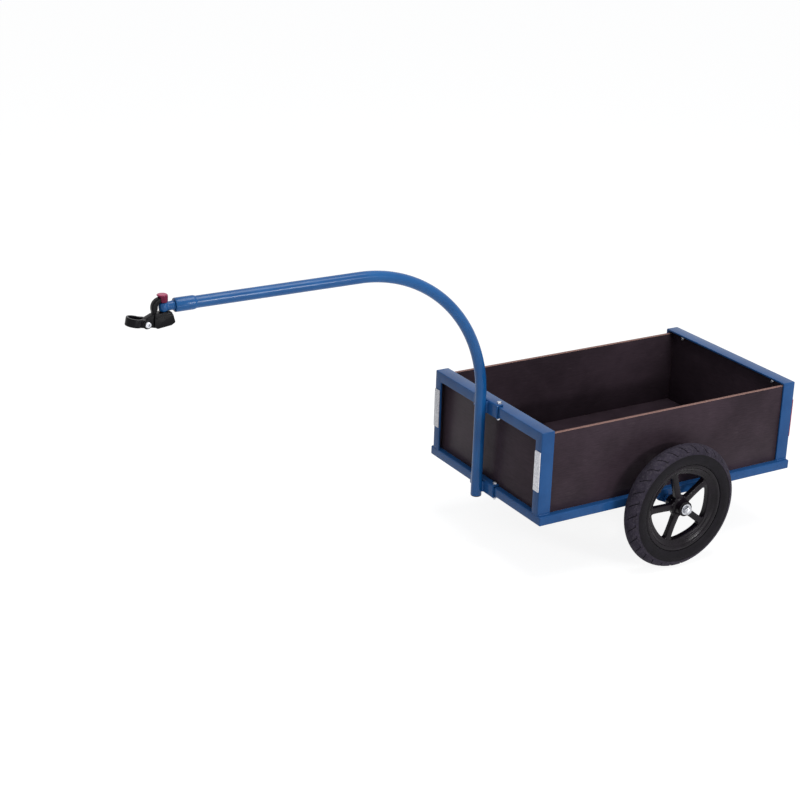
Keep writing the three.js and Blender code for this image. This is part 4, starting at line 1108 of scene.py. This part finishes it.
low, high = corners("swivel_sleeve")
length = high[0] - low[0]
profile = [(13.75, 0.4), (14.2, 0.0), (14.5, 0.5), (15.4, 4.2), (15.5, 5.2), (15.5, length - 2.2),
           (15.1, length - 1.2), (14.3, length - 0.4), (13.6, length), (8.3, length), (8.2, length - 10),
           (13.7, length - 11)]
sleeve = along_arm(turned(profile, 64, True), low[0])
piece("swivel_sleeve_steel", sleeve, ARM_BLUE, "chassis", ["swivel_sleeve"])


def tongue(start, end):
    """A superellipse that narrows and grows squarer from the shoulder to the barrel: y = W |cos a|^p and z
    = H |sin a|^p, each with the sign of its cosine or sine."""
    share = np.linspace(0, 1, 24)
    angle = TURN * np.arange(40) / 40
    half_wide = 9.8 - 2.0 * smooth(share, 0.0, 0.8)
    half_high = 10.2 - 0.9 * smooth(share, 0.0, 0.7)
    power = 1 - 0.2 * smooth(share, 0.1, 0.7)
    cos, sin = np.cos(angle), np.sin(angle)
    y = np.sign(cos) * np.abs(cos) ** power[:, None] * half_wide[:, None]
    z = np.sign(sin) * np.abs(sin) ** power[:, None] * half_high[:, None]
    x = np.broadcast_to((start + (end - start) * share)[:, None], y.shape)
    return shell(np.stack([x, y, z + ARM_Z], -1))


front_face = high[0]
pin_point = (PIN_X, 0, ARM_Z)
barrel = [(5.2, -10.0), (6.4, -9.9), (8.0, -9.2), (9.3, -7.8), (10.1, -5.6), (10.5, -2.6), (10.5, 2.6),
          (10.1, 5.6), (9.3, 7.8), (8.0, 9.2), (6.4, 9.9), (5.2, 10.0)]
collar = turned([(9.6, 0.0), (10.7, 0.5), (11.0, 1.4), (10.7, 2.6), (9.6, 3.2)], 56)
shank = turned([(8.0, -12.0), (8.0, 1.5)], 40)
eye_skins = [moved(turned(barrel, 56, True), origin=pin_point), tongue(front_face + 2.0, PIN_X - 4.5),
             along_arm(collar, front_face + 0.3), along_arm(shank, front_face)]
piece("coupling_eye_steel", eye_skins, ARM_BLUE, "swivel", ["coupling_eye"])
print("sleeve length:", round(length, 2), "mm")

# %% [markdown]
# ## Fork, pin and knob
# The fork is a cast block with a hook that curls over the eye. The locking pin drops through hook, eye and
# block, and a ribbed red knob on its head lifts it. The knob's skirt has a slot where the hook comes in,
# made by ending the skirt higher over that range of angles.


# %% Coupling fork
def upright_plate(points, radii, half, soft):
    """An outline in X and Z about the pin, as a plate about the middle plane with soft edges."""
    return upright(slab(filleted(points, radii, 6), -half, half, soft), pin_point)


HOOK_X, HOOK_REACH = 5.5, 15.5
HOOK_Z, HOOK_RISE = 0.5, 16
HOOK_WIDE = 14.0


def hook():
    """A bar carried from over the pin round a quarter of an ellipse, x = HOOK_X + HOOK_REACH cos a and z =
    HOOK_Z + HOOK_RISE sin a, and down to the block. It is 11 mm deep at the top, 14 mm in front and 8 mm
    at its foot."""
    angle = np.linspace(np.pi / 2, 0, 28)
    start = np.column_stack([np.linspace(0.5, 5.0, 5), np.full(5, HOOK_Z + HOOK_RISE)])
    arc = np.column_stack([HOOK_X + HOOK_REACH * np.cos(angle), HOOK_Z + HOOK_RISE * np.sin(angle)])
    end = np.column_stack([np.linspace(21.05, 23.4, 12), np.linspace(-1.0, -17.0, 12)])
    line = np.concatenate([start, arc, end])
    path = np.insert(line, 1, 0.0, axis=1) + pin_point
    around = np.clip((path[:, 0] - PIN_X - HOOK_X) / HOOK_REACH, 0, 1)
    deep = 11.0 + 3.0 * around**2 - 6.0 * smooth(ARM_Z - path[:, 2], 1, 13)
    halves = np.stack([np.full(len(path), HOOK_WIDE / 2), deep / 2], -1)
    return carried(rectangle(2, 2, 0.5, steps=6)[None] * halves[:, None], path, SIDEWAYS)


block = [(-17.2, -15.4), (-22, -34), (-13, -39.5), (19.5, -43.5), (25, -38.0), (25, -20.4)]
lug = [(9, -12.5), (9, -42.6), (22, -42.4), (43.5, -36.9), (50.5, -29.5), (47.0, -21.3), (27.5, -12.5)]
crown = [(-15.6, -11.0), (-18.4, -22.0), (24.4, -24.0), (24.4, -11.0)]
seat = turned([(11.5, -16), (11.5, -10.9), (10.9, -10.3), (5.2, -10.3), (5.2, -16)], 56, True)
guide = turned([(5.2, 11.2), (7.0, 11.1), (7.5, 11.7), (7.5, 21.2), (6.8, 21.9), (5.2, 22.0)], 48, True)
fork_skins = [hook(), upright_plate(block, [1.5, 3, 4, 4, 3, 1.5], 13.0, 1.2),
              upright_plate(crown, [2.5, 1.5, 1.5, 2.5], 11.8, 2.0),
              upright_plate(lug, [1, 1, 3, 7, 6.5, 5.5, 4], 8.0, 1.0),
              moved(seat, origin=pin_point), moved(guide, origin=pin_point)]
piece("coupling_fork_casting", fork_skins, BLACK_COAT, "coupling", ["coupling_fork"])
print("fork faces:", MADE[-1][1])

# %% Pin and knob
low, high = corners("locking_pin")
pin = [(3.8, low[2]), (5.0, low[2] + 1.2), (5.0, high[2] - 0.6), (4.4, high[2])]
pin = moved(turned(pin, 40), origin=(PIN_X, 0, 0))
piece("locking_pin_steel", pin, STEEL, "lock", ["locking_pin"])

SLOT = np.radians(44)
KNOB_RIBS, RIB_DEPTH = 10, 0.04
LEAN_OVER = 2.4


def knob():
    """Rings from the top's middle, over the ribbed edge, down to the skirt's foot and up the inside. The
    radius has ten shallow waves, and the foot is high where the hook passes, within 44 degrees of straight
    ahead. The skirt narrows towards its foot, and the top leans forward over the hook. top_sheen is 1 on the
    top, where a lighter tone is painted as a sheen."""
    (_, _, foot), (_, _, top) = corners("release_knob")
    roof = top - 5.5
    angle = np.concatenate([np.linspace(-SLOT, SLOT, 12), np.linspace(SLOT + 0.02, TURN - SLOT - 0.02, 84)])
    inside = np.abs((angle + np.pi) % TURN - np.pi) <= SLOT + 1e-6
    end = np.where(inside, roof, foot)
    wave = 1 - RIB_DEPTH * (0.5 + 0.5 * np.cos(KNOB_RIBS * angle)) ** 2

    def ring(radius, height, waves=0.0):
        """A ring with its share of the waves, at one height or at one for every point."""
        out = radius * (1 + waves * (wave - 1))
        return np.stack([out * np.cos(angle), out * np.sin(angle), np.broadcast_to(height, out.shape)], -1)

    outer = [ring(0.3, top - 0.2), ring(6.0, top - 0.1), ring(9.0, top, 0.2), ring(10.4, top - 0.2, 0.5),
             ring(11.3, top - 0.8, 0.8), ring(11.7, top - 1.8, 1), ring(11.6, roof + 1.4, 1)]
    rows = ((9.9, 1.0, 1), (9.3, 0.0, 1), (8.3, 0.0, 0), (7.9, 0.8, 0))
    skirt = [ring(radius, np.minimum(end + lift, roof + 0.4), waves) for radius, lift, waves in rows]
    rings = np.array([*outer, *skirt, ring(7.8, roof + 0.4)])
    outside = np.arange(len(rings))[:, None] < 8
    rings[..., 0] += LEAN_OVER * outside * smooth(rings[..., 2], roof - 2, top - 1)
    # A lighter tone is painted on the top rings as a sheen.
    top_sheen = np.repeat([1, 1, 1, 0.9, 0.5, 0.1, 0] + [0] * (len(rings) - 7), len(angle))
    return shell(rings), {"top_sheen": top_sheen}


skin, numbers = knob()
skin = moved(skin, origin=(PIN_X, 0, 0))
piece("release_knob_plastic", skin, RED, "lock", ["release_knob"], values=numbers)
print("knob points:", len(skin[0]))

# %% [markdown]
# ## Clamp
# A strap makes a round band, and comes back as two ears on either side of the fork's lug that the pivot
# bolt pulls together. It is a tall rounded section carried along the strap's plan, with its height drawn
# in to a round end at each ear. The whole clamp leans back by the angle LEAN.


# %% Clamp and its bolt
BORE_RADIUS, BAND_THICK = 13.6, 5.0
EAR_INSIDE, EAR_THICK = 8.3, 5.5
BORE_AHEAD, BAND_HALF = 24.5, 9.0


def strap():
    """The plan runs from one ear's tip along the ear, round the bore at the band's middle radius and back.
    The height is 18 mm at the band and follows a circle of 9 mm about the pivot at the tips."""
    middle, out = BORE_RADIUS + BAND_THICK / 2, EAR_INSIDE + EAR_THICK / 2
    begin = np.pi - np.arcsin(out / middle)
    angle = np.linspace(begin, -begin, 80)
    band = np.stack([BORE_AHEAD + middle * np.cos(angle), middle * np.sin(angle)], -1)
    tip = -BAND_HALF * np.cos(np.linspace(0.18, np.pi / 2, 12))
    ear_x = np.concatenate([[-8.95], tip, np.linspace(1, 11, 9)])
    ear = np.stack([ear_x, np.full(len(ear_x), out)], -1)
    plan = np.concatenate([ear, band, ear[::-1] * (1, -1)])
    x = plan[:, 0]
    half = np.where(x < 0, np.sqrt(np.clip(BAND_HALF**2 - x**2, 0.5, None)), BAND_HALF)
    thick = BAND_THICK / 2 * np.where(x < 11.5, 1.08, 1.0)
    sections = rectangle(2, 2, 0.3, steps=5)[None] * np.stack([half, thick], -1)[:, None]
    return carried(sections, at_height(plan, 0.0), (0, 0, 1))


def socket_head(radius, seat, height):
    """A cylinder with a soft rim and a hexagon socket."""
    rows = [(radius - 0.3, 0), (radius, 0.4), (radius, height - 1.2), (radius - 0.4, height - 0.4),
            (radius - 1.3, height)]
    rings = [at_height(circle(wide, 72), seat + rise) for wide, rise in rows]
    socket = [at_height(hexagon(6.4), seat + height - 0.2), at_height(hexagon(6.0), seat + height - 3.0)]
    return shell(rings + socket)


CLAMP_X = (np.cos(LEAN), 0, np.sin(LEAN))
CLAMP_Z = (-np.sin(LEAN), 0, np.cos(LEAN))
skin = moved(strap(), CLAMP_X, CLAMP_Z, PIVOT)
piece("post_clamp_strap", skin, BLACK_COAT, "clamp", ["post_clamp"])

ear_face = EAR_INSIDE + EAR_THICK
bolt_head = ear_face + 0.3 + 2.0 + 0.3
bolt_skins = [socket_head(6.5, bolt_head, 5.3),
              turned([(4.0, -ear_face - 6.5), (4.0, bolt_head + 1)], 32),
              threaded(4.0, -ear_face - 9.8, -ear_face - 6.0)]
for name, skins, metal, slot_name in (
    ("pivot_bolt", bolt_skins, ZINC, "zinc"),
    ("pivot_washer", [washer(4.2, 10.5, ear_face + 0.3, ear_face + 2.3, 0.9)], BLACK_COAT, "black_paint"),
    ("pivot_nut", [hex_body(13, -ear_face - 6.8, -ear_face - 0.3)], ZINC, "zinc"),
):
    skins = [moved(skin, CLAMP_X, SIDEWAYS, PIVOT) for skin in skins]
    piece(name + "_metal", skins, metal, "clamp", [name])
print("pieces in all:", len(MADE))

# %% [markdown]
# ## Nodes that stay as they are
# Bearings and the nut in the sleeve keep their own solids, and only need their finish.

# %% Finishes for the kept nodes
KEPT = {f"bearing_{place}_{side}": STEEL for side in HAND for place in ("outer", "inner")}
KEPT["swivel_nut"] = ZINC
for node, material in KEPT.items():
    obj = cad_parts[node]
    obj.data.materials.clear()
    obj.data.materials.append(material)
print("kept nodes:", sorted(KEPT))

# %% [markdown]
# ## Floor
# The floor looks white to the camera and in reflections and keeps the trailer's shadow, while for the
# light that falls on the trailer it is plain pale paper.

# %% Floor
FLOOR_HALF, FLOOR_DROP = 80.0, -0.0005
floor_mesh = bpy.data.meshes.new("floor")
square = [(x * FLOOR_HALF, y * FLOOR_HALF, FLOOR_DROP) for x, y in ((-1, -1), (1, -1), (1, 1), (-1, 1))]
floor_mesh.from_pydata(square, [], [(0, 1, 2, 3)])
floor = bpy.data.objects.new("floor", floor_mesh)
bpy.context.scene.collection.objects.link(floor)


def shown_ray(net):
    """1 for a ray that shows the backdrop: from the camera, off a mirror or through glass. Else 0."""
    kinds = ("Is Camera Ray", "Is Glossy Ray", "Is Transmission Ray")
    seen, mirrored, through = (net.node("ShaderNodeLightPath", output=kind) for kind in kinds)
    return seen.largest(mirrored).largest(through)


paper = bpy.data.materials.new("pale floor")
net = Net(paper)
matt = net.node("ShaderNodeBsdfDiffuse", inputs={"Color": (0.30, 0.30, 0.30, 1)})
glow = net.node("ShaderNodeEmission", inputs={"Color": (1, 1, 1, 1), "Strength": 0.88})
lifted = net.node("ShaderNodeAddShader", inputs={0: matt, 1: glow})
plain = net.node("ShaderNodeBsdfDiffuse", inputs={"Color": (0.85, 0.85, 0.85, 1)})
mixed = net.node("ShaderNodeMixShader", inputs={0: shown_ray(net), 1: plain, 2: lifted})
net.node("ShaderNodeOutputMaterial", inputs={"Surface": mixed})
floor_mesh.materials.append(paper)
print("floor:", FLOOR_HALF * 2, "m square")

# %% [markdown]
# ## World and lamps
# The world gives an even soft light and is white where it is seen. Four plain rectangles light the
# trailer: one high above, two near the camera for the gleam on the paint, and a low one that opens the
# shadows under the box.

# %% World and lamps
world = bpy.data.worlds.new("studio")
bpy.context.scene.world = world
sky = Net(world)
soft = sky.node("ShaderNodeBackground", inputs={"Color": (0.95, 0.97, 1.0, 1), "Strength": 0.35})
white = sky.node("ShaderNodeBackground", inputs={"Color": (1, 1, 1, 1), "Strength": 1.0})
choose = sky.node("ShaderNodeMixShader", inputs={0: shown_ray(sky), 1: soft, 2: white})
sky.node("ShaderNodeOutputWorld", inputs={"Surface": choose})


def lamp(name, place, aim, wide, tall, energy):
    """A rectangular soft light that faces a point."""
    data = bpy.data.lights.new(name, "AREA")
    data.shape, data.size, data.size_y, data.energy = "RECTANGLE", wide, tall, energy
    obj = bpy.data.objects.new(name, data)
    obj.location = place
    obj.rotation_mode = "QUATERNION"
    obj.rotation_quaternion = (Vector(aim) - Vector(place)).to_track_quat("-Z", "Y")
    bpy.context.scene.collection.objects.link(obj)


lamp("overhead", (-0.3, 0.5, 3.6), (-0.1, 0, 0.3), 2.0, 2.0, 60)
lamp("key", (-0.95, 3.3, 1.75), (-0.1, 0, 0.5), 0.8, 0.8, 11)
lamp("glint", (-1.03, 3.5, 1.33), (0.3, 0, 0.7), 0.8, 0.15, 28)
lamp("low", (0.1, 2.8, 0.25), (-0.1, 0, 0.3), 1.6, 0.4, 6)
print("lamps:", len(bpy.data.lights))

# %% [markdown]
# ## Camera
# The camera stands in front of the trailer on its left, and well above it. Its place is measured from the
# axle in millimetres, its angles are in radians, and its focal length is in image widths.

# %% Camera
CAMERA_FROM_AXLE = np.array([2588.44, 3278.62, 1771.43])
YAW, PITCH, ROLL = -2.11170, -0.37236, 0.03057
SENSOR = 36.0
FOCAL = 1772.67 / 800
look = np.array([np.cos(PITCH) * np.cos(YAW), np.cos(PITCH) * np.sin(YAW), np.sin(PITCH)])
right = np.cross(look, (0, 0, 1))
right /= np.linalg.norm(right)
up = np.cross(right, look)
right, up = right * np.cos(ROLL) + up * np.sin(ROLL), -right * np.sin(ROLL) + up * np.cos(ROLL)
eye_point = (np.array([AXLE[0], 0, AXLE[2]]) + CAMERA_FROM_AXLE) * MM
camera_data = bpy.data.cameras.new("camera")
camera_data.sensor_width = SENSOR
camera_data.lens = FOCAL * SENSOR
camera_data.clip_start, camera_data.clip_end = 0.1, 100
camera = bpy.data.objects.new("camera", camera_data)
camera.matrix_world = Matrix(np.column_stack([right, up, -look, eye_point]).tolist() + [[0, 0, 0, 1]])
bpy.context.scene.collection.objects.link(camera)
bpy.context.scene.camera = camera
bpy.context.scene.view_settings.view_transform = "Standard"
print("lens", round(camera_data.lens, 2), "mm, camera at", eye_point.round(3))

# %% [markdown]
# ## The end
# The number of pieces and of their faces is printed.

# %% Counts, and the last line
print("pieces:", len(MADE), "faces:", sum(count for _, count in MADE))
